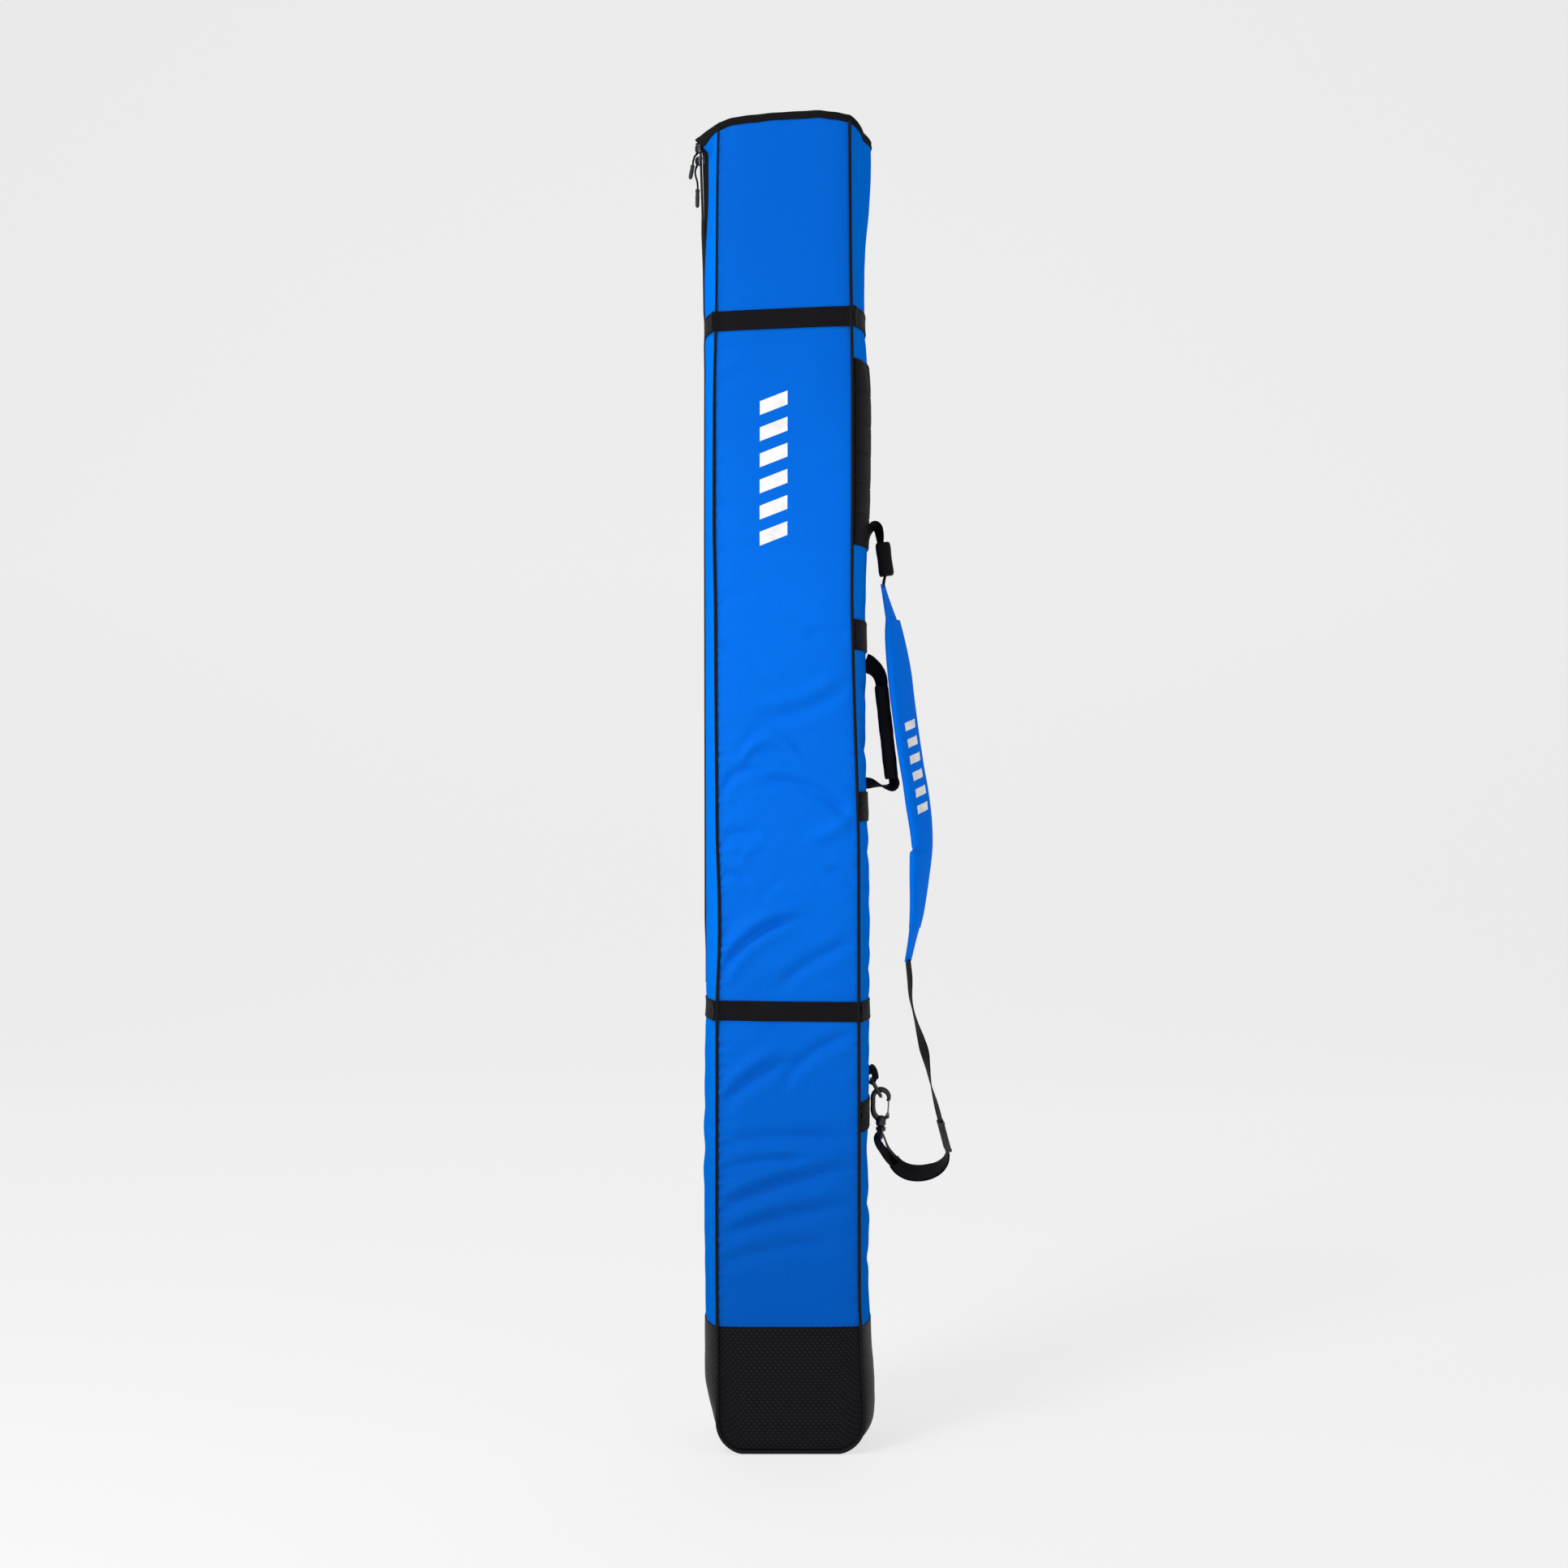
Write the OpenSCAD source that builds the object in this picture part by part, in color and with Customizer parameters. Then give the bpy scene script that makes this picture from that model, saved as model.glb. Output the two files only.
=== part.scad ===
// Long padded ski bag that stands on its moulded base: open bound mouth, side zip with two sliders,
// padded carry handle and a padded shoulder strap clipped to a D-ring.
// X runs across the front panel, Y from front to back, Z from the base up to the mouth.
// The origin is the middle of the base's flat underside.

/* [Bag body] */
// Height from the underside of the base to the rim of the mouth
bag_h = 1750; // [1650:10:1850]
// Width of the front and back panels
panel_w = 184; // [176:2:190]
// Depth from the front panel to the back panel
bag_d = 130; // [124:2:134]
// How far the right gusset bulges past the panels' edges
right_bulge = 14; // [12:1:15]
// Height of the embossed base
base_h = 166; // [120:2:200]
// Radius of the base's lower side corners
base_r = 50; // [44:1:56]
// Diameter of the piping cord along the panel edges
piping_dia = 4.4; // [3.6:0.2:5]
// Height of the binding round the mouth
binding_h = 12; // [8:1:16]

/* [Layers] */
// Thickness of the outer cloth
skin_t = 1.2; // [0.8:0.1:1.4]
// Thickness of the coated fabric of the base
base_t = 2; // [1.6:0.1:2.4]
// Thickness of the foam padding
foam_t = 4.9; // [3:0.1:6]
// Thickness of the lining
lining_t = 0.8; // [0.5:0.1:1]
// Air left between neighbouring layers
layer_gap = 0.2; // [0.15:0.05:0.25]

/* [Zip] */
// Height of the zip's lower end above the ground
zip_z0 = 600; // [590:1:620]
// Distance of the zip from the middle of the bag at its lower end
zip_reach = 108.5; // [107:0.5:110]
// How much further out the zip is at the sliders' rest place
zip_flare = 7.5; // [4:0.5:8]
// Height of the lower slider's centre at rest
lower_slider_z = 1703; // [1690:1:1704]
// Height of the upper slider's centre at rest
upper_slider_z = 1719; // [1719:1:1722]

/* [Webbing] */
// Width of the webbing sewn across the right gusset
patch_h = 40; // [36:1:40]
// Width of the bands that run round the bag
band_h = 26; // [24:1:28]
// Height of the middle of the upper band
upper_band_z = 1479; // [1460:1:1500]
// Height of the middle of the lower band
lower_band_z = 577; // [560:1:580]
// Thickness of all webbing
web_t = 1.6; // [1.4:0.1:1.8]
// Width of the shoulder strap's webbing
strap_w = 30; // [25:1:32]

/* [Handle and pad] */
// Radius of the padded grip
grip_r = 8.8; // [7:0.2:9]
// Greatest width of the shoulder pad
pad_w = 62; // [50:1:64]
// Greatest thickness of the shoulder pad
pad_t = 13; // [8:1:14]

/* [Hidden] */
$fn = 48;

half_w = panel_w / 2;
half_d = bag_d / 2;
wall_top = bag_h - binding_h;
left_rise = lower_slider_z - (zip_z0 + 10);
foam_out = skin_t + layer_gap;
foam_in = foam_out + foam_t;
lining_out = foam_in + layer_gap;
lining_in = lining_out + lining_t;
seam_y = half_d - skin_t - layer_gap;
foam_y = half_d - foam_in - layer_gap;
tape_edge = 22;
tape_t = 1;
zip_slot = 9;
teeth_w = 2.2;
teeth_gap = 0.8;
teeth_y = teeth_gap + teeth_w;
teeth_out = -0.3;
teeth_in = 3.2;
pipe_r = piping_dia / 2;
pipe_x = half_w - 1;
pipe_y = half_d + pipe_r + 0.1;
pipe_corner = 40;
pipe_bottom = pipe_r + 0.8;
arc_steps = 12;
wall_steps = 5;
row_count = 6;
row_pitch = patch_h + 0.6;
row_z0 = 1185;
patch_half = 60;
upper_patch_z = 1048;
lower_patch_z = 824;
ring_patch_z = 419;
root_half = 12;
upper_root_z = 1025;
upper_root_h = 22.5;
lower_root_z = 863.5;
lower_root_h = 20;
zip_lean = -atan(zip_flare / left_rise);
slider_len = 13;
slider_half_w = 5.2;
bail_out = 6.2;
bail_half = 5;
bail_wire = 1.3;
// Where a pull's cord passes through the bail: outwards from the zip and up from the slider's centre
pull_out = 3.65;
pull_up = -2.4;
pull_cord_r = 0.95;
grip_top = [124.5, 0, 1004];
grip_low = [138.3, 0, 880];
strap_axis_x = 124;
ring_bar = [111.5, 0, 479];
ring_bow = [124, 0, 457];
ring_wire = 1.9;
ring_half = 13;
hook_t = 5;
hook_top = [123, 458];
hook_low = [123, 437];
hook_ro = 13.5;
hook_ri = 8.5;
gate_pivot = [133.3, 0, 433.2];
gate_tip = [134.2, 0, 451.6];
gate_wire = 0.9;
gate_half = 3.6;

cloth_blue = [0.02, 0.42, 0.9];
side_blue = [0.03, 0.33, 0.72];
webbing_black = [0.1, 0.09, 0.1];
base_black = [0.1, 0.1, 0.12];
foam_grey = [0.75, 0.75, 0.76];
metal_black = [0.12, 0.12, 0.13];

// Route of the handle's webbing: x, y, z
HANDLE_ROUTE = [[113, 0, 1033], [116, 0, 1024], [121, 0, 1014], [123.7, 0, 1008], [126, 0, 990],
    [130.5, 0, 950], [135, 0, 910], [138.5, 0, 878], [138.6, 0, 872], [134, 0, 867],
    [126, 0, 866], [118, 0, 869], [113, 0, 873]];
// Routes of flat webbing: x, y, z and the turn of its width away from the Y direction
ROOT_ROUTE = [[109.8, 0, 1203, 0], [110.5, 0, 1211, 0], [114, 0, 1217.5, 0], [118.5, 0, 1216.5, 0],
    [122, 0, 1209, 0], [124, 0, 1199, 0]];
TOP_ROUTE = [[124.8, 0, 1196, 0], [126.5, 0, 1186, 0], [130, 0, 1168, 0], [130.5, 0, 1152, 0],
    [129.5, 0, 1138, 0]];
STRAP_ROUTE = [[160, 0, 636, 10], [162.5, 0, 615, 10], [163.5, 0, 590, 5], [167, 0, 572, 0],
    [171.5, 0, 555, 6], [177, 0, 536, 14], [182, 0, 517, 19], [186.5, 0, 495, 11],
    [191, 0, 471, 0], [198, 0, 444.5, 0], [204.5, 0, 420, 0], [211, 0, 395.5, 0],
    [215.2, 0, 379.6, 0]];
END_ROUTE = [[215.6, 0, 378, 0], [213.5, 0, 369, 8], [205, 0, 359, 18], [192, 0, 353.5, 27],
    [177, 0, 351.5, 31], [162, 0, 354.5, 32], [149, 0, 362, 28], [138, 0, 373.5, 18],
    [129.5, 0, 386, 8], [125, 0, 396, 0], [124, 0, 400.5, 0]];
// Shoulder pad and its sleeves: centre x, centre z, width, thickness, turn of the width from +X
PAD_STATIONS = [[139, 1092, 42, 7, 74], [142.5, 1066, 54, 11, 71], [147.5, 1020, 61, 13, 68],
    [154, 966, 62, 13, 68], [162.5, 912, 62, 13, 68], [170.5, 847, 62, 13, 68],
    [176, 793, 62, 13, 68], [175, 739, 60, 13, 68], [171, 705, 50, 11, 70], [167.5, 678, 38, 7, 74]];
SLEEVE_UP_STATIONS = [[129.5, 1137, 30, 4.4, 84], [133, 1115, 34, 5, 80], [138.6, 1093, 40, 6, 75]];
SLEEVE_LOW_STATIONS = [[167.2, 677, 36, 6, 75], [164, 658, 32, 5, 80], [160.3, 637, 30, 4.4, 82]];
// Pull cords: x, y, z
CORD_UP_ROUTE = [[-119.7, 0, 1716.6], [-120.8, 0, 1713], [-123.9, -1.2, 1708.8], [-125, -3.2, 1704.5],
    [-125.8, -4.8, 1700.8], [-126.1, -5.4, 1698]];
CORD_LOW_ROUTE = [[-119.6, 0, 1700.6], [-120.6, 0, 1696.5], [-121, 1.6, 1691], [-120.8, 2.8, 1686],
    [-120.4, 4.2, 1678], [-120.3, 4.8, 1668.5]];

function unit(v) = v / norm(v);
function pt(p) = [p[0], p[1], p[2]];
function tangent(r, i) = unit(pt(r[min(i + 1, len(r) - 1)]) - pt(r[max(i - 1, 0)]));

// Distance of the zip line from the middle plane at a height
function reach(z) = zip_reach + zip_flare * (z - zip_z0 - 10) / left_rise;
function left_bulge(z) = reach(z) - half_w;

// Gusset arc: x at a depth y, inset by d, for a bulge b
function arc_r(b) = (half_d * half_d + b * b) / (2 * b);
function arc_x(y, d, b) = half_w + b - arc_r(b) + sqrt(pow(arc_r(b) - d, 2) - y * y);
function arc_pts(y0, y1, d, b) =
    [for (i = [0:arc_steps]) let (y = y0 + (y1 - y0) * i / arc_steps) [arc_x(y, d, b), y]];
function strip(y0, y1, d0, d1, b) = concat(arc_pts(y0, y1, d0, b), arc_pts(y1, y0, d1, b));
function flip(points) = [for (p = points) [-p[0], p[1]]];
function backwards(points) = [for (i = [len(points) - 1:-1:0]) points[i]];
function steps(z0, z1) = [for (i = [0:wall_steps]) z0 + (z1 - z0) * i / wall_steps];
function at_z(points, z) = [for (p = points) [p[0], p[1], z]];

// Whole cross-section inset by d, and the open path of a wall that stops at the zip
function section(d, bl, br) = let (c = half_d - d)
    concat(arc_pts(-c, c, d, br), backwards(flip(arc_pts(-c, c, d, bl))));
function open_path(d, bl, br, cut) = let (c = half_d - d)
    concat(flip(arc_pts(-cut, -c, d, bl)), arc_pts(-c, c, d, br), flip(arc_pts(c, cut, d, bl)));
function open_wall(d0, d1, bl, br, cut) =
    concat(open_path(d0, bl, br, cut), backwards(open_path(d1, bl, br, cut)));

// Closed solid through a list of rings that all have the same even number of points
module loft(rings) {
    m = len(rings[0]);
    n = len(rings);
    points = [for (r = rings) for (p = r) p];
    walls = [for (i = [0:n - 2]) for (j = [0:m - 1]) let (k = (j + 1) % m, a = i * m, b = a + m)
        each [[a + j, b + j, b + k], [a + j, b + k, a + k]]];
    first = [for (i = [0:m / 2 - 2]) each [[i, i + 1, m - 2 - i], [i, m - 2 - i, m - 1 - i]]];
    last = [for (f = first) [f[2], f[1], f[0]] + (n - 1) * m * [1, 1, 1]];
    polyhedron(points, concat(first, walls, last), convexity = 6);
}

// Round cord along a route
module cord(route, r, sides) {
    loft([for (i = [0:len(route) - 1])
        let (t = tangent(route, i), u = unit(cross([0.01, 1, 0], t)), v = cross(t, u))
        [for (j = [0:sides - 1]) pt(route[i]) + r * (cos(360 * j / sides) * u
            + sin(360 * j / sides) * v)]]);
}

// Flat webbing along a route whose fourth value turns the width out of the Y direction
module ribbon(route, w, t) {
    loft([for (i = [0:len(route) - 1])
        let (d = tangent(route, i), side = unit(cross([0, 1, 0], d)),
            wide = cos(route[i][3]) * [0, 1, 0] + sin(route[i][3]) * side, thin = cross(d, wide))
        [for (c = [[-1, -1], [1, -1], [1, 1], [-1, 1]])
            pt(route[i]) + c[0] * w / 2 * wide + c[1] * t / 2 * thin]]);
}

// Soft pad through stations of centre x, centre z, width, thickness and turn of the width
module pad_loft(stations) {
    loft([for (s = backwards(stations))
        [for (j = [0:15]) let (a = 360 * j / 16, p = s[2] / 2 * cos(a), q = s[3] / 2 * sin(a))
            [s[0] + p * cos(s[4]) - q * sin(s[4]), p * sin(s[4]) + q * cos(s[4]), s[1]]]]);
}

// Strip of the left gusset, which leans out with the zip
module left_strip(z0, z1, y0, y1, d0, d1) {
    loft([for (z = steps(z0, z1))
        at_z(backwards(flip(strip(y0, y1, d0, d1, left_bulge(z)))), z)]);
}

module right_strip(z0, z1, half, d0, d1) {
    translate([0, 0, z0])
        linear_extrude(z1 - z0)
            polygon(strip(-half, half, d0, d1, right_bulge));
}

module plate(half_x, y0, y1, z0, z1) {
    translate([-half_x, y0, z0])
        cube([2 * half_x, y1 - y0, z1 - z0]);
}

// Outline of the base seen from the front, inset by d
module base_outline(d) {
    r = base_r - d;
    hw = half_w + right_bulge - d;
    translate([-hw, base_r])
        square([2 * hw, base_h]);
    translate([r - hw, d])
        square([2 * (hw - r), base_h]);
    for (s = [-1, 1])
        translate([s * (hw - r), base_r])
            circle(r);
}

module base_solid(d, top) {
    intersection() {
        linear_extrude(top)
            polygon(section(d, right_bulge, right_bulge));
        rotate([90, 0, 0])
            linear_extrude(2 * bag_d, center = true)
                base_outline(d);
    }
}

module base_shell(d0, d1, top) {
    difference() {
        base_solid(d0, top);
        base_solid(d1, top + 1);
    }
}

module piping(side) {
    straight_x = pipe_x - pipe_corner;
    corner_z = pipe_bottom + pipe_corner;
    translate([0, side * pipe_y, 0]) {
        for (s = [-1, 1]) {
            translate([s * pipe_x, 0, corner_z])
                cylinder(h = wall_top - corner_z, r = pipe_r);
            translate([s * straight_x, 0, corner_z])
                rotate([90, 0, 0])
                    rotate([0, 0, s > 0 ? -90 : 180])
                        rotate_extrude(angle = 90)
                            translate([pipe_corner, 0])
                                circle(pipe_r);
        }
        translate([-straight_x, 0, pipe_bottom])
            rotate([0, 90, 0])
                cylinder(h = 2 * straight_x, r = pipe_r);
    }
}

// Band of webbing that follows the bag and arches over the piping
module band(z, cut) {
    bl = left_bulge(z);
    out = -layer_gap - web_t;
    translate([0, 0, z - band_h / 2])
        linear_extrude(band_h)
            difference() {
                union() {
                    if (cut > 0)
                        polygon(open_wall(out, -layer_gap, bl, right_bulge, cut));
                    else
                        polygon(section(out, bl, right_bulge));
                    at_piping()
                        circle(pipe_r + web_t + 0.2);
                }
                at_piping()
                    circle(pipe_r + 0.1);
                polygon(section(-layer_gap, bl, right_bulge));
            }
}

module at_piping() {
    for (s = [-1, 1], t = [-1, 1])
        translate([s * pipe_x, t * pipe_y])
            children();
}

module gusset_patch(z0, h, half) {
    right_strip(z0, z0 + h, half, -layer_gap - web_t, -layer_gap);
}

module at_zip(z) {
    translate([-reach(z), 0, z])
        rotate([0, zip_lean, 0])
            children();
}

module slider(z) {
    plate_h = 1.7;
    at_zip(z) {
        translate([teeth_out - 0.4 - plate_h, -slider_half_w, -slider_len / 2])
            cube([plate_h, 2 * slider_half_w, slider_len]);
        translate([teeth_in + 0.4, -slider_half_w, -slider_len / 2])
            cube([1.3, 2 * slider_half_w, slider_len]);
        translate([teeth_out - 0.5, -0.5, -slider_len / 2])
            cube([teeth_in - teeth_out + 1, 1, 5]);
        difference() {
            translate([-bail_out, -1.2, -bail_half])
                cube([bail_out - 2.3, 2.4, 2 * bail_half]);
            translate([bail_wire - bail_out, -2, bail_wire - bail_half])
                cube([bail_out - bail_wire - 2.4, 4, 2 * (bail_half - bail_wire)]);
        }
    }
}

// Doubled cord of a pull: a short bar through the bail and two strands that meet at the toggle
module pull_cord(z, route) {
    spread = 2.4;
    meet = 0.6;
    at_zip(z)
        translate([-pull_out, spread, pull_up])
            rotate([90, 0, 0])
                cylinder(h = 2 * spread, r = pull_cord_r);
    for (s = [-1, 1])
        cord([for (i = [0:len(route) - 1]) let (f = max(i - 1, 0) / (len(route) - 2))
            route[i] + [0, s * (spread + (meet - spread) * f), 0]], pull_cord_r, 8);
}

// Moulded pull with rounded ends between two points
module toggle(a, b, r) {
    d = b - a;
    translate(a)
        rotate([0, acos(d[2] / norm(d)), atan2(d[1], d[0])]) {
            cylinder(h = norm(d), r = r);
            sphere(r);
            translate([0, 0, norm(d)])
                sphere(r);
        }
}

module front_panel() {
    color(cloth_blue)
        plate(half_w - 0.1, -half_d, -half_d + skin_t, base_h + layer_gap, wall_top - layer_gap);
}

module back_panel() {
    color(cloth_blue)
        plate(half_w - 0.1, half_d - skin_t, half_d, base_h + layer_gap, wall_top - layer_gap);
}

module right_gusset() {
    color(side_blue)
        right_strip(base_h + layer_gap, wall_top - layer_gap, seam_y, 0, skin_t);
}

module left_gusset_lower() {
    color(side_blue)
        left_strip(base_h + layer_gap, zip_z0 - layer_gap, -seam_y, seam_y, 0, skin_t);
}

module zip_gusset_front() {
    color(side_blue)
        left_strip(zip_z0, wall_top - layer_gap, -seam_y, -zip_slot, 0, skin_t);
}

module zip_gusset_back() {
    color(side_blue)
        left_strip(zip_z0, wall_top - layer_gap, zip_slot, seam_y, 0, skin_t);
}

module base_front() {
    color(base_black)
        intersection() {
            base_shell(0, base_t, base_h);
            plate(bag_d, -bag_d, -half_d + base_t, -1, bag_h);
        }
}

module base_back() {
    color(base_black)
        mirror([0, 1, 0])
            base_front();
}

module base_gusset() {
    color(base_black)
        intersection() {
            base_shell(0, base_t, base_h);
            plate(bag_d, -half_d + base_t, half_d - base_t, -1, bag_h);
        }
}

module front_piping() {
    color(webbing_black)
        piping(-1);
}

module back_piping() {
    color(webbing_black)
        piping(1);
}

module mouth_binding() {
    color(webbing_black)
        loft([for (z = [wall_top, bag_h])
            at_z(open_wall(-1, lining_in + 0.6, left_bulge(z), right_bulge, zip_slot + 1), z)]);
}

module front_foam() {
    color(foam_grey)
        plate(half_w - 3, -seam_y, -seam_y + foam_t, base_h + layer_gap, wall_top - layer_gap);
}

module back_foam() {
    color(foam_grey)
        plate(half_w - 3, seam_y - foam_t, seam_y, base_h + layer_gap, wall_top - layer_gap);
}

module right_foam() {
    color(foam_grey)
        right_strip(base_h + layer_gap, wall_top - layer_gap, foam_y, foam_out, foam_in);
}

module left_foam_lower() {
    color(foam_grey)
        left_strip(base_h + layer_gap, zip_z0 - layer_gap, -foam_y, foam_y, foam_out, foam_in);
}

module left_foam_front() {
    color(foam_grey)
        left_strip(zip_z0, wall_top - layer_gap, -foam_y, -tape_edge - layer_gap, foam_out, foam_in);
}

module left_foam_back() {
    color(foam_grey)
        left_strip(zip_z0, wall_top - layer_gap, tape_edge + layer_gap, foam_y, foam_out, foam_in);
}

module base_foam() {
    color(foam_grey)
        base_shell(base_t + layer_gap, base_t + layer_gap + foam_t, base_h);
}

module lining() {
    color(base_black)
        loft([for (z = steps(base_h + layer_gap, wall_top - layer_gap))
            at_z(open_wall(lining_out + 0.1, lining_in, left_bulge(z), right_bulge, tape_edge), z)]);
}

module base_lining() {
    outer = base_t + foam_t + 2 * layer_gap;
    color(base_black)
        base_shell(outer, outer + lining_t, base_h);
}

module zip_tape_front() {
    color(webbing_black)
        left_strip(zip_z0, wall_top - layer_gap, -tape_edge, -teeth_y - layer_gap,
            foam_out, foam_out + tape_t);
}

module zip_tape_back() {
    color(webbing_black)
        left_strip(zip_z0, wall_top - layer_gap, teeth_y + layer_gap, tape_edge,
            foam_out, foam_out + tape_t);
}

module zip_teeth_front() {
    color(metal_black)
        left_strip(zip_z0 + 8, wall_top - 8, -teeth_y, -teeth_gap, teeth_out, teeth_in);
}

module zip_teeth_back() {
    color(metal_black)
        left_strip(zip_z0 + 8, wall_top - 8, teeth_gap, teeth_y, teeth_out, teeth_in);
}

module zip_top_stops() {
    color(metal_black)
        for (s = [-1, 1])
            at_zip(wall_top - 5.5)
                translate([teeth_out, s * (teeth_gap + teeth_y) / 2 - 1.1, -2])
                    cube([teeth_in - teeth_out, 2.2, 4]);
}

module zip_bottom_stop() {
    color(metal_black)
        at_zip(zip_z0 + 5)
            translate([teeth_out, -2.9, -2.5])
                cube([teeth_in - teeth_out, 5.8, 5]);
}

module upper_band() {
    color(webbing_black)
        band(upper_band_z, zip_slot + 1);
}

module lower_band() {
    color(webbing_black)
        band(lower_band_z, 0);
}

module webbing_panel() {
    color(webbing_black)
        for (i = [0:row_count - 1])
            gusset_patch(row_z0 + i * row_pitch, patch_h, patch_half);
}

module handle_patch_upper() {
    color(webbing_black)
        gusset_patch(upper_patch_z, patch_h, patch_half);
}

module handle_patch_lower() {
    color(webbing_black)
        gusset_patch(lower_patch_z, patch_h - 1, patch_half);
}

module ring_patch() {
    color(webbing_black)
        gusset_patch(ring_patch_z, patch_h - 1, patch_half);
}

module handle_root_upper() {
    color(webbing_black)
        gusset_patch(upper_root_z, upper_root_h, root_half);
}

module handle_root_lower() {
    color(webbing_black)
        gusset_patch(lower_root_z, lower_root_h, root_half);
}

module strap_root_webbing() {
    color(webbing_black)
        ribbon(ROOT_ROUTE, strap_w - 2, web_t);
}

module ring_tab() {
    loop_r = ring_wire + 0.5;
    color(webbing_black) {
        translate([ring_bar[0], 10, ring_bar[2]])
            rotate([90, 0, 0])
                difference() {
                    cylinder(h = 20, r = loop_r + web_t);
                    translate([0, 0, -1])
                        cylinder(h = 22, r = loop_r);
                }
        translate([half_w + right_bulge + 0.1, -10, ring_bar[2] + 3.4])
            cube([3.6, 20, 16]);
    }
}

module d_ring() {
    run = ring_bow - ring_bar;
    straight = norm(run) - ring_half;
    arm_r = ring_wire - 0.05;
    color(metal_black)
        translate(ring_bar)
            rotate([0, atan2(-run[2], run[0]), 0]) {
                translate([0, ring_half + ring_wire, 0])
                    rotate([90, 0, 0])
                        cylinder(h = 2 * (ring_half + ring_wire), r = ring_wire);
                for (s = [-1, 1])
                    translate([ring_wire / 2, s * ring_half, 0])
                        rotate([0, 90, 0])
                            cylinder(h = straight - ring_wire / 2, r = arm_r);
                translate([straight, 0, 0])
                    rotate([0, 0, -90])
                        rotate_extrude(angle = 180)
                            translate([ring_half, 0])
                                circle(arm_r);
            }
}

module handle_webbing() {
    color(webbing_black)
        cord(HANDLE_ROUTE, 3.8, 10);
}

module handle_grip() {
    d = grip_low - grip_top;
    color(webbing_black)
        translate(grip_top)
            rotate([0, acos(d[2] / norm(d)), 0])
                difference() {
                    cylinder(h = norm(d), r = grip_r);
                    translate([0, 0, -1])
                        cylinder(h = norm(d) + 2, r = 4.6);
                }
}

module strap_wrap() {
    color(webbing_black)
        translate([129.5, 0, 1172.5])
            difference() {
                cube([19, 25, 42], center = true);
                cube([15.8, 22.6, 44], center = true);
            }
}

module strap_top_webbing() {
    color(webbing_black)
        ribbon(TOP_ROUTE, 22, 2 * web_t);
}

module pad_sleeve_upper() {
    color(cloth_blue)
        pad_loft(SLEEVE_UP_STATIONS);
}

module shoulder_pad() {
    color(cloth_blue)
        pad_loft([for (s = PAD_STATIONS) [s[0], s[1], s[2] * pad_w / 62, s[3] * pad_t / 13, s[4]]]);
}

module pad_sleeve_lower() {
    color(cloth_blue)
        pad_loft(SLEEVE_LOW_STATIONS);
}

module strap_webbing() {
    color(webbing_black)
        ribbon(STRAP_ROUTE, strap_w, web_t);
}

module strap_end_webbing() {
    color(webbing_black)
        ribbon(END_ROUTE, strap_w, 2 * web_t);
}

// Webbing loop of the swivel with the stud that turns in the hook
module swivel_eye() {
    frame_out = strap_w / 2 + 3.4;
    frame_in = strap_w / 2 + 0.6;
    color(metal_black)
        translate([strap_axis_x, 0, 0]) {
            difference() {
                translate([-2, -frame_out, 401.5])
                    cube([4, 2 * frame_out, 15.5]);
                translate([-3, -frame_in, 405])
                    cube([6, 2 * frame_in, 8.5]);
            }
            translate([0, 0, 416])
                cylinder(h = 7, r = 2.4);
        }
}

// Sliding adjuster: side rails, outer bars in front of the webbing and a middle bar behind it
module adjuster() {
    slide = unit([211, 0, 395.5] - [204.5, 0, 420]);
    rail_in = strap_w / 2 + 0.8;
    bar = 3;
    reach_out = 1.5;
    color(metal_black)
        translate([208.6, 0, 404.5])
            rotate([0, atan2(slide[0], slide[2]), 0]) {
                for (s = [-1, 1])
                    translate([-4.4, s * (rail_in + 1.6) - 1.6, -20])
                        cube([8.8, 3.2, 40]);
                for (z = [-18, 18])
                    translate([reach_out, -rail_in - 0.1, z - bar / 2 - 0.5])
                        cube([2.9, 2 * rail_in + 0.2, bar + 1]);
                translate([-reach_out - 2.9, -rail_in - 0.1, -bar])
                    cube([2.9, 2 * rail_in + 0.2, 2 * bar]);
            }
}

module hook_body() {
    color(metal_black) {
        translate([0, hook_t / 2, 0])
            rotate([90, 0, 0])
                linear_extrude(hook_t)
                    hook_outline();
        translate([strap_axis_x, 0, 417.4])
            difference() {
                cylinder(h = 9.5, r = 5);
                translate([0, 0, -1])
                    cylinder(h = 8.6, r = 2.46);
            }
    }
}

// Open C of the hook seen from the front, with the gate's pivot hole
module hook_outline() {
    wire = hook_ro - hook_ri;
    difference() {
        union() {
            intersection() {
                hook_circle(hook_top);
                translate([hook_top[0] - 20, hook_top[1]])
                    square([40, 20]);
            }
            translate([hook_top[0] + hook_ri, hook_top[1] - 5])
                square([wire, 5]);
            translate([hook_top[0] - hook_ro, hook_low[1]])
                square([wire, hook_top[1] - hook_low[1]]);
            intersection() {
                hook_circle(hook_low);
                translate([hook_low[0] - 20, hook_low[1] - 20])
                    square([20 + hook_ro, 20]);
            }
        }
        translate([gate_pivot[0], gate_pivot[2]])
            circle(gate_wire + 0.15);
    }
}

module hook_circle(c) {
    translate(c)
        difference() {
            circle(hook_ro);
            circle(hook_ri);
        }
}

// Wire gate: a pin through the hook, a wire on each side and a bar under the nose
module hook_gate() {
    run = gate_tip - gate_pivot;
    color(metal_black) {
        for (p = [gate_pivot, gate_tip])
            translate(p + [0, gate_half + gate_wire, 0])
                rotate([90, 0, 0])
                    cylinder(h = 2 * (gate_half + gate_wire), r = gate_wire);
        for (s = [-1, 1])
            translate(gate_pivot + [0, s * gate_half, 0])
                rotate([0, atan2(run[0], run[2]), 0])
                    cylinder(h = norm(run), r = gate_wire - 0.05);
    }
}

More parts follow.
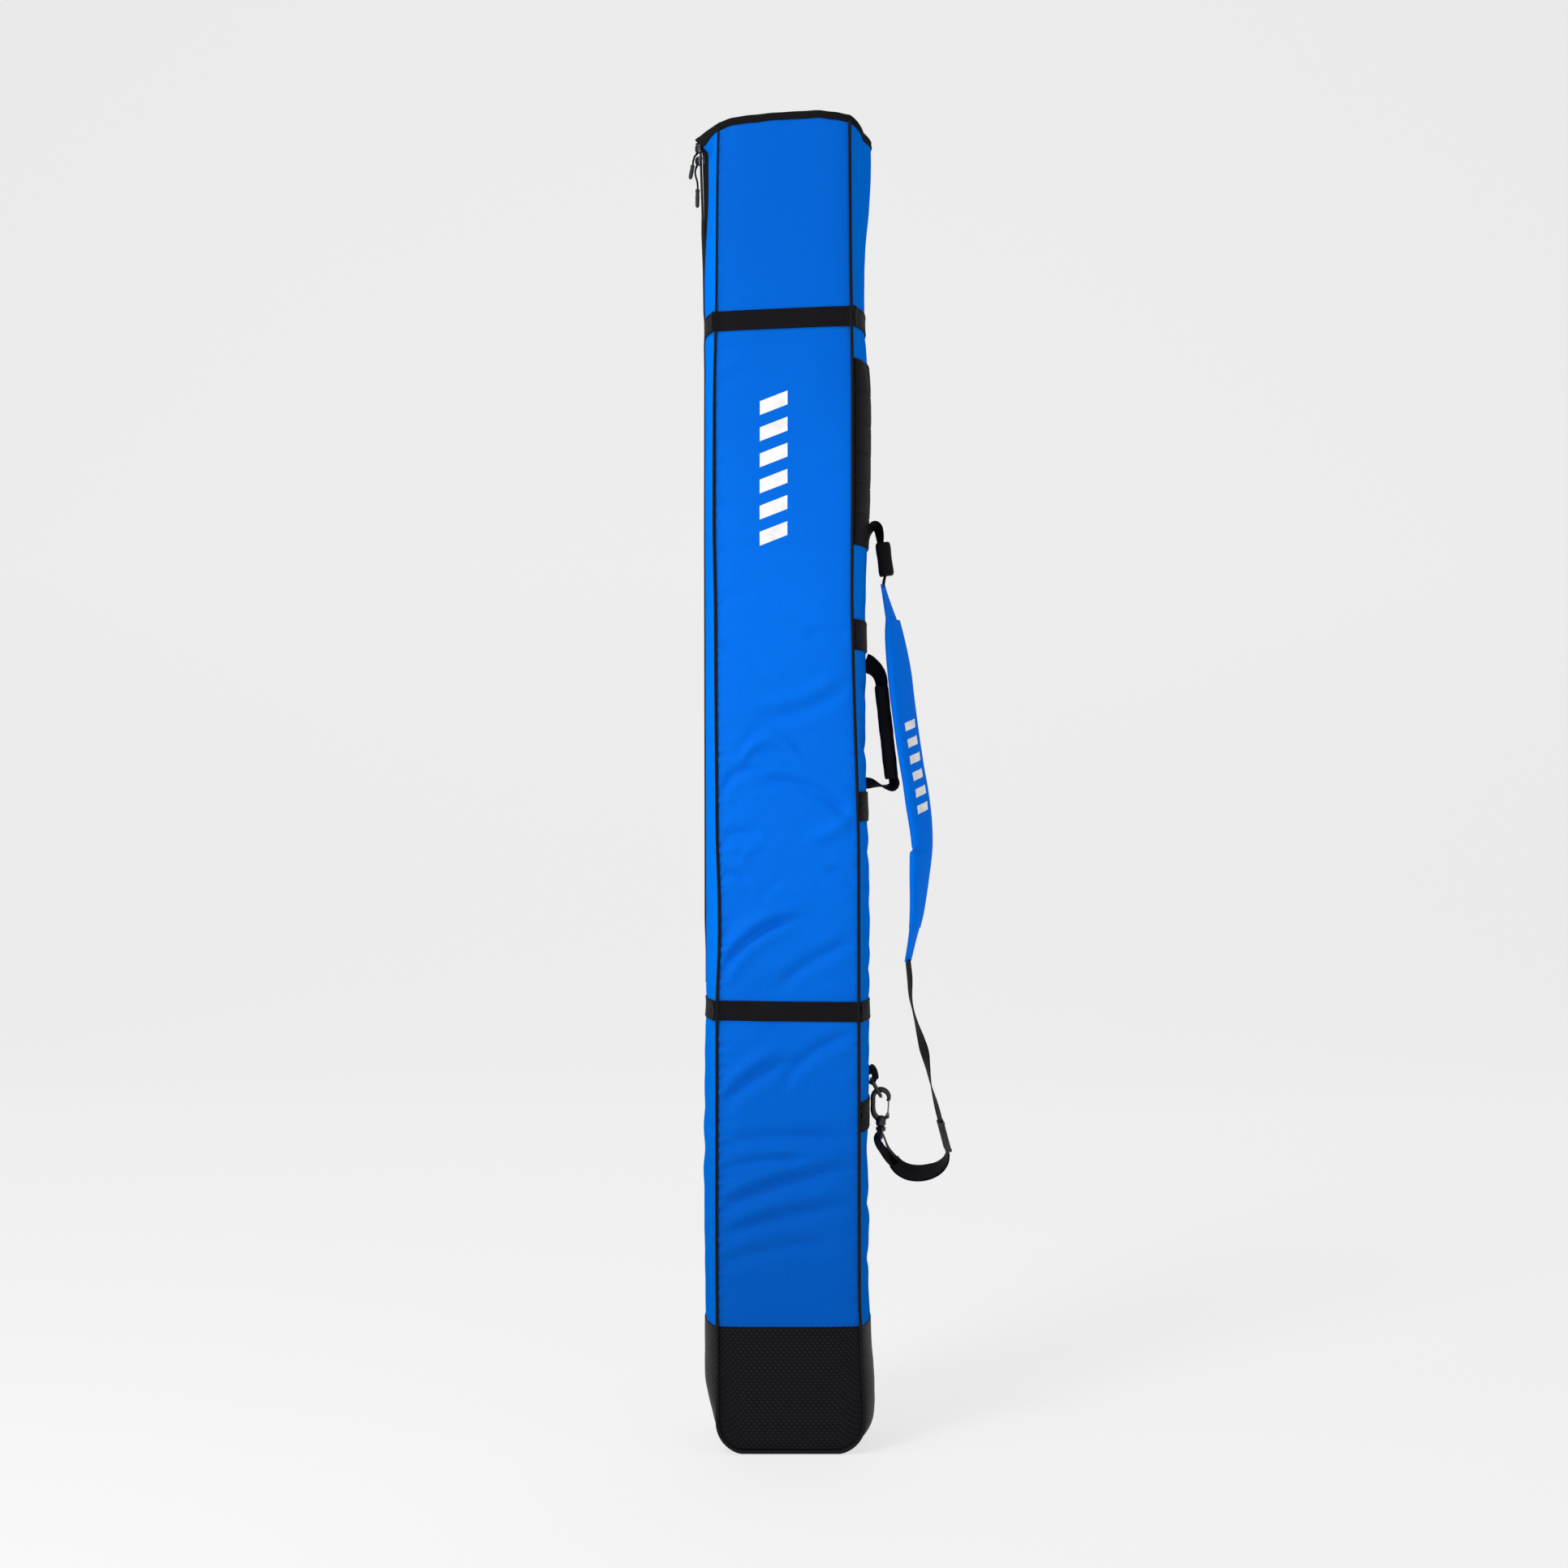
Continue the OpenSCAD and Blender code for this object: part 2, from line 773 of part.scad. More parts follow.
module slider_upper() {
    color(metal_black)
        slider(upper_slider_z);
}

module slider_lower() {
    color(metal_black)
        slider(lower_slider_z);
}

module pull_cord_upper() {
    color(metal_black)
        pull_cord(upper_slider_z, CORD_UP_ROUTE);
}

module pull_cord_lower() {
    color(metal_black)
        pull_cord(lower_slider_z, CORD_LOW_ROUTE);
}

module pull_toggle_upper() {
    color(metal_black)
        toggle([-126.4, -5.5, 1695], [-129.5, -5.7, 1679], 2.7);
}

module pull_toggle_lower() {
    color(metal_black)
        toggle([-120.4, 4.9, 1665.6], [-120.7, 5, 1644], 2.7);
}

front_panel();
back_panel();
right_gusset();
left_gusset_lower();
zip_gusset_front();
zip_gusset_back();
base_front();
base_back();
base_gusset();
front_piping();
back_piping();
mouth_binding();
front_foam();
back_foam();
right_foam();
left_foam_lower();
left_foam_front();
left_foam_back();
base_foam();
lining();
base_lining();
zip_tape_front();
zip_tape_back();
zip_teeth_front();
zip_teeth_back();
zip_top_stops();
zip_bottom_stop();
upper_band();
lower_band();
webbing_panel();
handle_patch_upper();
handle_patch_lower();
ring_patch();
handle_root_upper();
handle_root_lower();
strap_root_webbing();
ring_tab();
d_ring();
handle_webbing();
handle_grip();
strap_wrap();
strap_top_webbing();
pad_sleeve_upper();
shoulder_pad();
pad_sleeve_lower();
strap_webbing();
strap_end_webbing();
swivel_eye();
adjuster();
hook_body();
hook_gate();
slider_upper();
slider_lower();
pull_cord_upper();
pull_cord_lower();
pull_toggle_upper();
pull_toggle_lower();
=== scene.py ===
"""Ski bag: the looks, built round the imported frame.

Shapes are worked out in millimetres and stored in metres.
"""

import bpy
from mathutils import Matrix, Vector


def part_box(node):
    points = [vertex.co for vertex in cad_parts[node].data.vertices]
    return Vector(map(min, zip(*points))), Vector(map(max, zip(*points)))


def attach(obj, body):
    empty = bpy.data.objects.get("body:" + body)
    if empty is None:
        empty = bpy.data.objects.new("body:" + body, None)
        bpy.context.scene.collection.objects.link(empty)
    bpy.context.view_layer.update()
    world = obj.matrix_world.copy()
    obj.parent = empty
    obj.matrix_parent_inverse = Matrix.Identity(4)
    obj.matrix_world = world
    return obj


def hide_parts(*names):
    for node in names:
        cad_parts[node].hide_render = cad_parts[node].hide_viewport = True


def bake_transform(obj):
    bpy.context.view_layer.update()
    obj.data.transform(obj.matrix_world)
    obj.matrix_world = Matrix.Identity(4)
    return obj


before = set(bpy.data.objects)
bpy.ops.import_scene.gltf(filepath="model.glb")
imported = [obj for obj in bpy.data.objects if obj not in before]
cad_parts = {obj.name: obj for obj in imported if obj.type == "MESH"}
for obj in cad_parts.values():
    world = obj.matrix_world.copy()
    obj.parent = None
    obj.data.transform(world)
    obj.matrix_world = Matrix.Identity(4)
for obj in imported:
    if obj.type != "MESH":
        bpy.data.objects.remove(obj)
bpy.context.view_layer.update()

import math

import bmesh
import bpy
import numpy as np

MM = 0.001

# ---------------------------------------------------------------- camera, stage and light

FRONT_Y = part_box("front_panel")[0].y
CAMERA_DISTANCE = 2.837
camera_data = bpy.data.cameras.new("camera")
camera_data.lens = 50
camera_data.sensor_width = 36
camera = bpy.data.objects.new("camera", camera_data)
camera.location = (-0.005, FRONT_Y - CAMERA_DISTANCE, 0.873)
camera.rotation_euler = (math.pi / 2, 0, 0)
bpy.context.scene.collection.objects.link(camera)
bpy.context.scene.camera = camera

scene = bpy.context.scene
scene.view_settings.view_transform = "Standard"
scene.view_settings.look = "None"


def area_light(name, place, target, size, energy):
    """Rectangular lamp that faces a target."""
    data = bpy.data.lights.new(name, "AREA")
    data.shape = "RECTANGLE"
    data.size, data.size_y = size
    data.energy = energy
    obj = bpy.data.objects.new(name, data)
    obj.location = place
    way = [t - p for t, p in zip(target, place)]
    yaw = math.atan2(way[1], way[0])
    pitch = math.atan2(way[2], math.hypot(way[0], way[1]))
    obj.rotation_euler = (math.pi / 2 + pitch, 0, yaw - math.pi / 2)
    scene.collection.objects.link(obj)


area_light("key_light", (-1.5, -1.7, 4.2), (0, 0, 1.1), (1.0, 1.0), 58)
area_light("near_light", (-1.2, -1.35, 1.1), (0, 0, 1.0), (0.4, 0.4), 11)
area_light("fill_light", (2.2, -3.2, 1.4), (0, 0, 0.9), (1.6, 2.0), 11)
area_light("side_light", (-3.0, -0.8, 1.7), (0, 0, 1.1), (1.2, 2.0), 20)
area_light("right_light", (3.0, -1.1, 1.5), (0, 0, 1.0), (1.2, 2.0), 9)

world = bpy.data.worlds.new("studio")
world.use_nodes = True
world.node_tree.nodes["Background"].inputs["Color"].default_value = (0.84, 0.84, 0.84, 1)
world.node_tree.nodes["Background"].inputs["Strength"].default_value = 0.42
scene.world = world


def make_stage():
    """A pale floor that curves up into a backdrop."""
    width, front, back, wall, bend, steps = 14.0, -7.0, 4.5, 7.0, 1.6, 16
    path = [(front, 0.0)]
    for i in range(steps + 1):
        a = math.pi / 2 * i / steps
        path.append((back - bend + bend * math.sin(a), bend - bend * math.cos(a)))
    path.append((back, wall))
    verts = [(s * width / 2, y, z) for y, z in path for s in (-1, 1)]
    faces = [(2 * i, 2 * i + 1, 2 * i + 3, 2 * i + 2) for i in range(len(path) - 1)]
    mesh = bpy.data.meshes.new("stage_floor")
    mesh.from_pydata(verts, [], faces)
    mesh.shade_smooth()
    obj = bpy.data.objects.new("stage_floor", mesh)
    scene.collection.objects.link(obj)
    mat = bpy.data.materials.new("stage_paper")
    mat.use_nodes = True
    bsdf = mat.node_tree.nodes["Principled BSDF"]
    bsdf.inputs["Base Color"].default_value = (0.2, 0.2, 0.2, 1)
    bsdf.inputs["Roughness"].default_value = 0.9
    bsdf.inputs["Emission Color"].default_value = (1, 1, 1, 1)
    bsdf.inputs["Emission Strength"].default_value = 0.695
    mesh.materials.append(mat)


make_stage()

# ---------------------------------------------------------------- materials


class Nodes:
    """Small helper that adds and links shader nodes of one material."""

    def __init__(self, name, colour, roughness, specular=0.5, metallic=0.0):
        self.mat = bpy.data.materials.new(name)
        self.mat.use_nodes = True
        self.tree = self.mat.node_tree
        self.bsdf = self.tree.nodes["Principled BSDF"]
        self.bsdf.inputs["Base Color"].default_value = (*colour, 1)
        self.bsdf.inputs["Roughness"].default_value = roughness
        self.bsdf.inputs["Specular IOR Level"].default_value = specular
        self.bsdf.inputs["Metallic"].default_value = metallic
        self.colour = colour

    def add(self, kind, **values):
        node = self.tree.nodes.new(kind)
        for key, value in values.items():
            setattr(node, key, value)
        return node

    def link(self, a, b):
        self.tree.links.new(a, b)

    def math(self, operation, a, b=None, c=None):
        node = self.add("ShaderNodeMath", operation=operation)
        for socket, value in zip(node.inputs, (a, b, c)):
            if value is None:
                continue
            if isinstance(value, (int, float)):
                socket.default_value = value
            else:
                self.link(value, socket)
        return node.outputs[0]

    def uv(self):
        uv = self.add("ShaderNodeUVMap", uv_map="UVMap")
        split = self.add("ShaderNodeSeparateXYZ")
        self.link(uv.outputs[0], split.inputs[0])
        return split.outputs[0], split.outputs[1]

    def noise(self, scale, detail=3.0, roughness=0.5, stretch=(1, 1, 1)):
        coords = self.add("ShaderNodeTexCoord")
        mapping = self.add("ShaderNodeMapping")
        mapping.inputs["Scale"].default_value = stretch
        self.link(coords.outputs["Object"], mapping.inputs["Vector"])
        noise = self.add("ShaderNodeTexNoise")
        noise.inputs["Scale"].default_value = scale
        noise.inputs["Detail"].default_value = detail
        noise.inputs["Roughness"].default_value = roughness
        self.link(mapping.outputs[0], noise.inputs["Vector"])
        return noise.outputs["Fac"]

    def height(self, low, high):
        """0 to 1 between two heights in metres."""
        coords = self.add("ShaderNodeTexCoord")
        split = self.add("ShaderNodeSeparateXYZ")
        self.link(coords.outputs["Object"], split.inputs[0])
        ramp = self.add("ShaderNodeMapRange", interpolation_type="SMOOTHSTEP")
        ramp.inputs["From Min"].default_value = low
        ramp.inputs["From Max"].default_value = high
        self.link(split.outputs[2], ramp.inputs["Value"])
        return ramp.outputs["Result"]

    def wave(self, value, pitch):
        """0 to 1 along value (metres) once every pitch millimetres."""
        turns = self.math("MULTIPLY", value, 2 * math.pi / (pitch * MM))
        return self.math("MULTIPLY_ADD", self.math("SINE", turns), 0.5, 0.5)

    def spread(self, value, low, high):
        """value from 0 to 1 mapped to low to high."""
        return self.math("MULTIPLY_ADD", value, high - low, low)

    def shade(self, factor):
        """Base colour times a factor socket."""
        mix = self.add("ShaderNodeMix", data_type="RGBA", blend_type="MULTIPLY")
        mix.inputs["Factor"].default_value = 1.0
        mix.inputs["A"].default_value = (*self.colour, 1)
        combine = self.add("ShaderNodeCombineColor")
        for socket in combine.inputs:
            self.link(factor, socket)
        self.link(combine.outputs[0], mix.inputs["B"])
        self.link(mix.outputs["Result"], self.bsdf.inputs["Base Color"])

    def bump(self, height, distance, strength=1.0, below=None):
        node = self.add("ShaderNodeBump")
        node.inputs["Distance"].default_value = distance * MM
        node.inputs["Strength"].default_value = strength
        self.link(height, node.inputs["Height"])
        if below is not None:
            self.link(below, node.inputs["Normal"])
        self.link(node.outputs[0], self.bsdf.inputs["Normal"])
        return node.outputs[0]


def cloth(name, colour, roughness=0.62, pitch=0.62, specular=0.03, painted_foot_shade=1.0, painted_mouth_shade=1.0):
    """Plain-woven coated polyester with faint slubs and a soft unevenness.

    The last two factors darken it towards the bag's foot and towards its mouth: painted shade for light that
    falls off there.
    """
    n = Nodes(name, colour, roughness, specular=specular)
    u, v = n.uv()
    warp = n.wave(u, pitch)
    weft = n.wave(v, pitch)
    over = n.wave(n.math("ADD", u, v), 2 * pitch)
    warp_on_top = n.math("MULTIPLY", warp, over)
    weft_on_top = n.math("MULTIPLY", weft, n.math("SUBTRACT", 1.0, over))
    weave = n.math("MAXIMUM", warp_on_top, weft_on_top)
    patch = n.noise(9.0, 3.0, 0.5, (1, 1, 0.5))
    slub = n.noise(420.0, 2.0, 0.6, (1, 1, 0.18))
    tone = n.math("ADD", n.spread(weave, 0.93, 1.05), n.spread(patch, -0.07, 0.07))
    tone = n.math("ADD", tone, n.spread(slub, -0.05, 0.05))
    # painted shade: the cloth is darker towards the foot and towards the mouth
    lower = n.spread(n.height(0.1, 0.85), painted_foot_shade, 1.0)
    upper = n.spread(n.height(1.05, 1.62), 1.0, painted_mouth_shade)
    n.shade(n.math("MULTIPLY", tone, n.math("MULTIPLY", lower, upper)))
    n.link(n.spread(patch, roughness - 0.06, roughness + 0.06), n.bsdf.inputs["Roughness"])
    soft = n.noise(240.0, 4.0, 0.55)
    first = n.bump(soft, 0.22, 0.5)
    n.bump(weave, 0.06, 0.8, first)
    return n.mat


def webbing(name, colour=(0.0055, 0.0048, 0.0062), pitch=1.15, along_u=False, roughness=0.66):
    """Ribbed woven webbing: ribs across its length and a fine thread pattern in each rib."""
    n = Nodes(name, colour, roughness, specular=0.06)
    u, v = n.uv()
    if along_u:
        u, v = v, u
    ribs = n.wave(v, pitch)
    threads = n.wave(n.math("ADD", u, n.math("MULTIPLY", v, 0.8)), 1.5)
    pattern = n.math("MULTIPLY_ADD", threads, 0.4, n.math("MULTIPLY", ribs, 0.6))
    patch = n.noise(30.0, 3.0)
    n.shade(n.math("ADD", n.spread(pattern, 0.7, 1.45), n.spread(patch, -0.15, 0.2)))
    n.bump(pattern, 0.22, 0.8)
    return n.mat


def embossed(name):
    """Coated fabric pressed with staggered rows of small grains, whose tops carry a painted highlight."""
    n = Nodes(name, (0.0021, 0.0021, 0.0033), 0.52, specular=0.12)
    u, v = n.uv()
    grain, row = 7.0, 4.05
    across = n.math("DIVIDE", u, grain * MM)
    up = n.math("DIVIDE", v, row * MM)
    line = n.math("FLOOR", up)
    shift = n.math("MULTIPLY", n.math("MODULO", line, 2.0), 0.5)
    x = n.math("SUBTRACT", n.math("FRACT", n.math("ADD", across, shift)), 0.5)
    y = n.math("SUBTRACT", n.math("FRACT", up), 0.5)
    far_x = n.math("POWER", n.math("DIVIDE", x, 0.3), 2.0)
    far_y = n.math("POWER", n.math("DIVIDE", y, 0.34), 2.0)
    far = n.math("ADD", far_x, far_y)
    grain_and_highlight = n.math("SMOOTH_MAX", n.math("SUBTRACT", 1.0, far), 0.0, 0.3)
    fine = n.noise(900.0, 2.0)
    patch = n.noise(14.0, 3.0)
    # Base colour: each grain's top is painted up to 6.4 times lighter as a painted highlight, plus random
    # patches.
    n.shade(n.math("ADD", n.spread(grain_and_highlight, 0.6, 6.4), n.spread(patch, -0.15, 0.2)))
    n.link(n.spread(patch, 0.46, 0.6), n.bsdf.inputs["Roughness"])
    first = n.bump(fine, 0.05, 0.5)
    n.bump(grain_and_highlight, 0.7, 1.0, first)
    return n.mat


def plastic(name, colour, roughness=0.38, grain=0.04):
    """Moulded plastic or lacquered metal with a faint texture and an uneven tone."""
    n = Nodes(name, colour, roughness, specular=0.5)
    patch = n.noise(60.0, 4.0)
    n.shade(n.spread(patch, 0.8, 1.35))
    n.link(n.spread(patch, roughness - 0.08, roughness + 0.1), n.bsdf.inputs["Roughness"])
    n.bump(n.noise(1400.0, 2.0), grain, 0.6)
    return n.mat


def metal(name, colour, roughness=0.3):
    n = Nodes(name, colour, roughness, metallic=0.85)
    patch = n.noise(160.0, 4.0)
    n.shade(n.spread(patch, 0.75, 1.3))
    n.link(n.spread(patch, roughness - 0.08, roughness + 0.14), n.bsdf.inputs["Roughness"])
    n.bump(n.noise(2200.0, 2.0), 0.02, 0.5)
    return n.mat


MATERIALS = {
    # The panel and side cloths are darker towards the foot, and the panel also towards the mouth: painted
    # shade.
    "panel": cloth("panel_cloth", (0.0005, 0.15, 0.76), painted_foot_shade=0.64, painted_mouth_shade=0.82),
    "side": cloth("side_cloth", (0.0005, 0.165, 0.74), specular=0.0, painted_foot_shade=0.72),
    # The pad's blue is the panel's made lighter: painted light for the shade that the pad stands in.
    "pad": cloth("pad_cloth", (0.0005, 0.17, 0.84), specular=0.01),
    "base": embossed("embossed_fabric"),
    "piping": cloth("piping_cloth", (0.0075, 0.0066, 0.008), 0.6, 0.8, 0.1),
    "binding": webbing("binding_tape", (0.006, 0.006, 0.0068), 0.95, along_u=True),
    "webbing": webbing("strap_webbing"),
    "cross": webbing("patch_webbing", (0.0062, 0.0055, 0.0075), 1.15, along_u=True),
    "wrap": cloth("wrap_cloth", (0.0075, 0.0066, 0.0078), 0.72, 0.7, 0.08),
    "foam": plastic("foam_sheet", (0.5, 0.5, 0.51), 0.85, 0.2),
    "lining": cloth("lining_cloth", (0.018, 0.018, 0.02), 0.7, 0.4),
    "tape": webbing("zip_tape_cloth", (0.007, 0.007, 0.008), 0.8),
    "teeth": plastic("zip_teeth_nylon", (0.014, 0.014, 0.016), 0.34),
    "slider": metal("slider_metal", (0.16, 0.165, 0.175), 0.34),
    "plastic": plastic("moulded_plastic", (0.008, 0.008, 0.0095), 0.4),
    "hook": plastic("lacquered_metal", (0.01, 0.01, 0.0115), 0.3, 0.02),
    "wire": metal("gate_wire", (0.34, 0.34, 0.35), 0.28),
    "cord": cloth("pull_cord_braid", (0.007, 0.007, 0.0078), 0.6, 0.5, 0.1),
    "pull": plastic("pull_rubber", (0.012, 0.012, 0.0135), 0.5),
    "thread": cloth("black_thread", (0.013, 0.012, 0.0145), 0.6, 0.3, 0.1),
    "blue_thread": cloth("blue_thread", (0.0008, 0.13, 0.68), 0.55, 0.3, 0.1),
    "print": plastic("white_print", (0.8, 0.8, 0.8), 0.5, 0.01),
}

# ---------------------------------------------------------------- mesh tools


def new_piece(name, verts, faces, material, body=None, slot=None, nodes=(), uvs=None, sharp=40):
    """A mesh object from millimetre points; nodes are the CAD nodes that it stands for."""
    mesh = bpy.data.meshes.new(name)
    mesh.from_pydata((np.asarray(verts, float) * MM).tolist(), [], faces)
    if uvs is not None:
        layer = mesh.uv_layers.new(name="UVMap")
        index = np.zeros(len(mesh.loops), np.int32)
        mesh.loops.foreach_get("vertex_index", index)
        layer.data.foreach_set("uv", (np.asarray(uvs, float)[index] * MM).astype(np.float32).ravel())
    bm = bmesh.new()
    bm.from_mesh(mesh)
    bmesh.ops.recalc_face_normals(bm, faces=bm.faces)
    bm.to_mesh(mesh)
    bm.free()
    mesh.shade_smooth()
    mesh.set_sharp_from_angle(angle=math.radians(sharp))
    mesh.materials.append(MATERIALS[material])
    obj = bpy.data.objects.new(name, mesh)
    scene.collection.objects.link(obj)
    if body:
        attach(obj, body)
    if nodes:
        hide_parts(*nodes)
    return obj


def grid_faces(rows, cols, start=0, loop_rows=False, loop_cols=False):
    faces = []
    for i in range(rows if loop_rows else rows - 1):
        for j in range(cols if loop_cols else cols - 1):
            a, b = i * cols + j, i * cols + (j + 1) % cols
            c, d = ((i + 1) % rows) * cols + (j + 1) % cols, ((i + 1) % rows) * cols + j
            faces.append((start + a, start + b, start + c, start + d))
    return faces


def running_length(points):
    """Distance along a path, from 0 at its first point."""
    return np.concatenate([[0], np.cumsum(np.linalg.norm(np.diff(points, axis=0), axis=1))])


def at_length(where, run, values):
    """Columns of values along a path, read at given running lengths."""
    return np.stack([np.interp(where, run, values[:, k]) for k in range(values.shape[1])], -1)


def in_plane(rows):
    """Rows of x, z and more as points of the plane y = 0; further columns are carried along."""
    return np.insert(np.array(rows, float), 1, 0.0, axis=1)


def circle(count):
    """Angles of evenly spaced points round a circle."""
    return np.linspace(0, 2 * math.pi, count, endpoint=False)


def squircle(angles, power, rise_power=None):
    """Cosine and sine of a circle squared off to a rounded box: the smaller the power, the squarer."""
    across = np.sign(np.cos(angles)) * np.abs(np.cos(angles)) ** power
    rise = np.sign(np.sin(angles)) * np.abs(np.sin(angles)) ** (rise_power or power)
    return across, rise


def lengths(points, axis):
    """Running length in mm along one axis of a grid of points, measured on its middle line."""
    middle = points[:, points.shape[1] // 2] if axis == 0 else points[points.shape[0] // 2]
    return running_length(middle)


def slab_parts(outer, inner):
    """Vertices, faces and uvs of a closed slab between two grids of points."""
    rows, cols = outer.shape[:2]
    count = rows * cols
    verts = np.concatenate([outer.reshape(-1, 3), inner.reshape(-1, 3)])
    faces = grid_faces(rows, cols)
    faces += [tuple(reversed(f)) for f in grid_faces(rows, cols, count)]
    edge = [i * cols for i in range(rows)] + [(rows - 1) * cols + j for j in range(1, cols)]
    edge += [i * cols + cols - 1 for i in range(rows - 2, -1, -1)] + list(range(cols - 2, 0, -1))
    for a, b in zip(edge, edge[1:] + edge[:1]):
        faces.append((a, b, count + b, count + a))
    uv_u, uv_v = np.meshgrid(lengths(outer, 0), lengths(outer, 1), indexing="ij")
    uv = np.stack([uv_v, uv_u], -1).reshape(-1, 2)
    return verts, faces, np.concatenate([uv, uv])


def slab(name, outer, inner, material, **kw):
    verts, faces, uv = slab_parts(outer, inner)
    return new_piece(name, verts, faces, material, uvs=uv, **kw)


def joined(name, parts, material, **kw):
    """One piece from several (vertices, faces, uvs) groups whose faces start at 0."""
    verts, faces, uvs, start = [], [], [], 0
    for v, f, uv in parts:
        verts.append(v)
        faces += [tuple(start + i for i in face) for face in f]
        uvs.append(uv)
        start += len(v)
    return new_piece(name, np.concatenate(verts), faces, material, uvs=np.concatenate(uvs), **kw)


def sweep_parts(rings, closed_caps=True):
    """Closed tube through rings of equal size."""
    rings = np.asarray(rings, float)
    rows, cols = rings.shape[:2]
    faces = grid_faces(rows, cols, loop_cols=True)
    verts = rings.reshape(-1, 3)
    centres = np.array([rings[0].mean(0), rings[-1].mean(0)])
    run = lengths(rings, 0)
    around = running_length(rings[rows // 2])
    uu, vv = np.meshgrid(run, around, indexing="ij")
    uv = np.stack([vv, uu], -1).reshape(-1, 2)
    if closed_caps:
        base = rows * cols
        verts = np.concatenate([verts, centres])
        uv = np.concatenate([uv, [[0, 0], [0, run[-1]]]])
        for j in range(cols):
            k = (j + 1) % cols
            faces.append((base, k, j))
            faces.append((base + 1, (rows - 1) * cols + j, (rows - 1) * cols + k))
    return verts, faces, uv


def spline(points, count):
    """Smooth curve through points, evenly spaced along its length. Extra columns are carried along."""
    p = np.asarray(points, float)
    p = np.concatenate([[2 * p[0] - p[1]], p, [2 * p[-1] - p[-2]]])
    fine = []
    for i in range(1, len(p) - 2):
        for t in np.linspace(0, 1, 24, endpoint=False):
            a, b, c, d = p[i - 1], p[i], p[i + 1], p[i + 2]
            fine.append(0.5 * (2 * b + (c - a) * t + (2 * a - 5 * b + 4 * c - d) * t**2
                               + (3 * b - a - 3 * c + d) * t**3))
    fine.append(p[-2])
    fine = np.array(fine)
    run = running_length(fine[:, :3])
    return at_length(np.linspace(0, run[-1], count), run, fine)


def unit(v):
    v = np.asarray(v, float)
    return v / np.maximum(np.linalg.norm(v, axis=-1, keepdims=True), 1e-9)


def tangents(points):
    return unit(np.gradient(points, axis=0))


def frames(points, up=(0, 1, 0)):
    """Tangent, side and up of each point: side is square to up and the path."""
    t = tangents(points)
    u = np.tile(np.array(up, float), (len(points), 1))
    side = unit(np.cross(u, t))
    return t, side, unit(np.cross(t, side))


def tube_parts(points, radius, sides=12, up=(0, 1, 0), squeeze=1.0):
    points = np.asarray(points, float)
    _, side, rise = frames(points, up)
    radius = np.broadcast_to(radius, len(points))
    a = circle(sides)
    rings = (points[:, None] + radius[:, None, None] * (np.cos(a)[None, :, None] * side[:, None]
             + squeeze * np.sin(a)[None, :, None] * rise[:, None]))
    return sweep_parts(rings)


def ribbon_rings(points, turn, width, thick, curl=0.0):
    """Rings of flat webbing. turn, in degrees, turns its width from the Y direction about the path."""
    points = np.asarray(points, float)
    t = tangents(points)
    y = np.tile([0.0, 1.0, 0.0], (len(points), 1))
    side = unit(np.cross(y, t))
    turn = np.radians(np.broadcast_to(turn, len(points)))[:, None]
    wide = np.cos(turn) * y + np.sin(turn) * side
    thin = unit(np.cross(t, wide))
    width = np.broadcast_to(width, len(points))
    half = width / 2
    steps = 10
    ring = [(-1 + 2 * k / steps, -1.0) for k in range(steps + 1)]
    ring += [(1 - 2 * k / steps, 1.0) for k in range(steps + 1)]
    out = []
    for f, s in ring:
        lift = s * thick / 2 * (0.45 if abs(f) == 1 else 1.0)
        bow = curl * (1 - f * f)
        out.append(points + (f * half)[:, None] * wide + (lift + bow) * thin)
    return np.stack(out, 1)


def ribbon(name, stations, width, thick, material, count, **kw):
    """Webbing through stations of x, y, z and turn."""
    p = spline(stations, count)
    rings = ribbon_rings(p[:, :3], p[:, 3], width, thick)
    return joined(name, [sweep_parts(rings)], material, sharp=60, **kw)


def stitch_parts(points, normals, length=2.6, gap=1.3, radius=0.28):
    """A row of small thread loops lying on a path."""
    points = np.asarray(points, float)
    normals = unit(np.broadcast_to(normals, points.shape))
    run = running_length(points)
    parts = []
    start = gap / 2
    while start + length < run[-1]:
        at = np.linspace(start, start + length, 4)
        p = at_length(at, run, points)
        n = unit(at_length(at, run, normals))
        sink = np.array([-0.9, 0.25, 0.25, -0.9]) * radius
        line = p + n * sink[:, None]
        parts.append(tube_parts(line, radius, 5, up=tuple(n[1])))
        start += length + gap
    return parts


# ---------------------------------------------------------------- the bag's outline


def profile(points, blur=22.0):
    """Smooth function of height (or x) through a few (position, value) points."""
    step = 2.0
    where = np.arange(-200, 1960, step)
    points = sorted(points)
    raw = np.interp(where, [p[0] for p in points], [p[1] for p in points])
    reach = int(4 * blur / step)
    kernel = np.exp(-0.5 * (np.arange(-reach, reach + 1) * step / blur) ** 2)
    kernel /= kernel.sum()
    soft = np.convolve(np.pad(raw, reach, mode="edge"), kernel, "valid")
    return lambda z: np.interp(z, where, soft)


HALF_D = 65.0  # half the depth between the seams
BASE_TOP = 166.0  # height of the seam above the base
SKIN = 1.2  # thickness of the coated cloth
FOAM_IN = 6.2  # how far in the foam's inner face lies
LINING_IN = 7.2  # how far in the lining's inner face lies
ZIP_Z0 = 600.0  # foot of the zip
LOWER_BAND_Z = 577.0
UPPER_BAND_Z = 1479.0
HALF_WIDTH = 92.0  # half the width between the back seams
RIM_Z = 1740.0  # height at which the front's width is taken for its rim
ZIP_LEAN = 7.5 / 1093  # how far the CAD zip leans out for each millimetre up

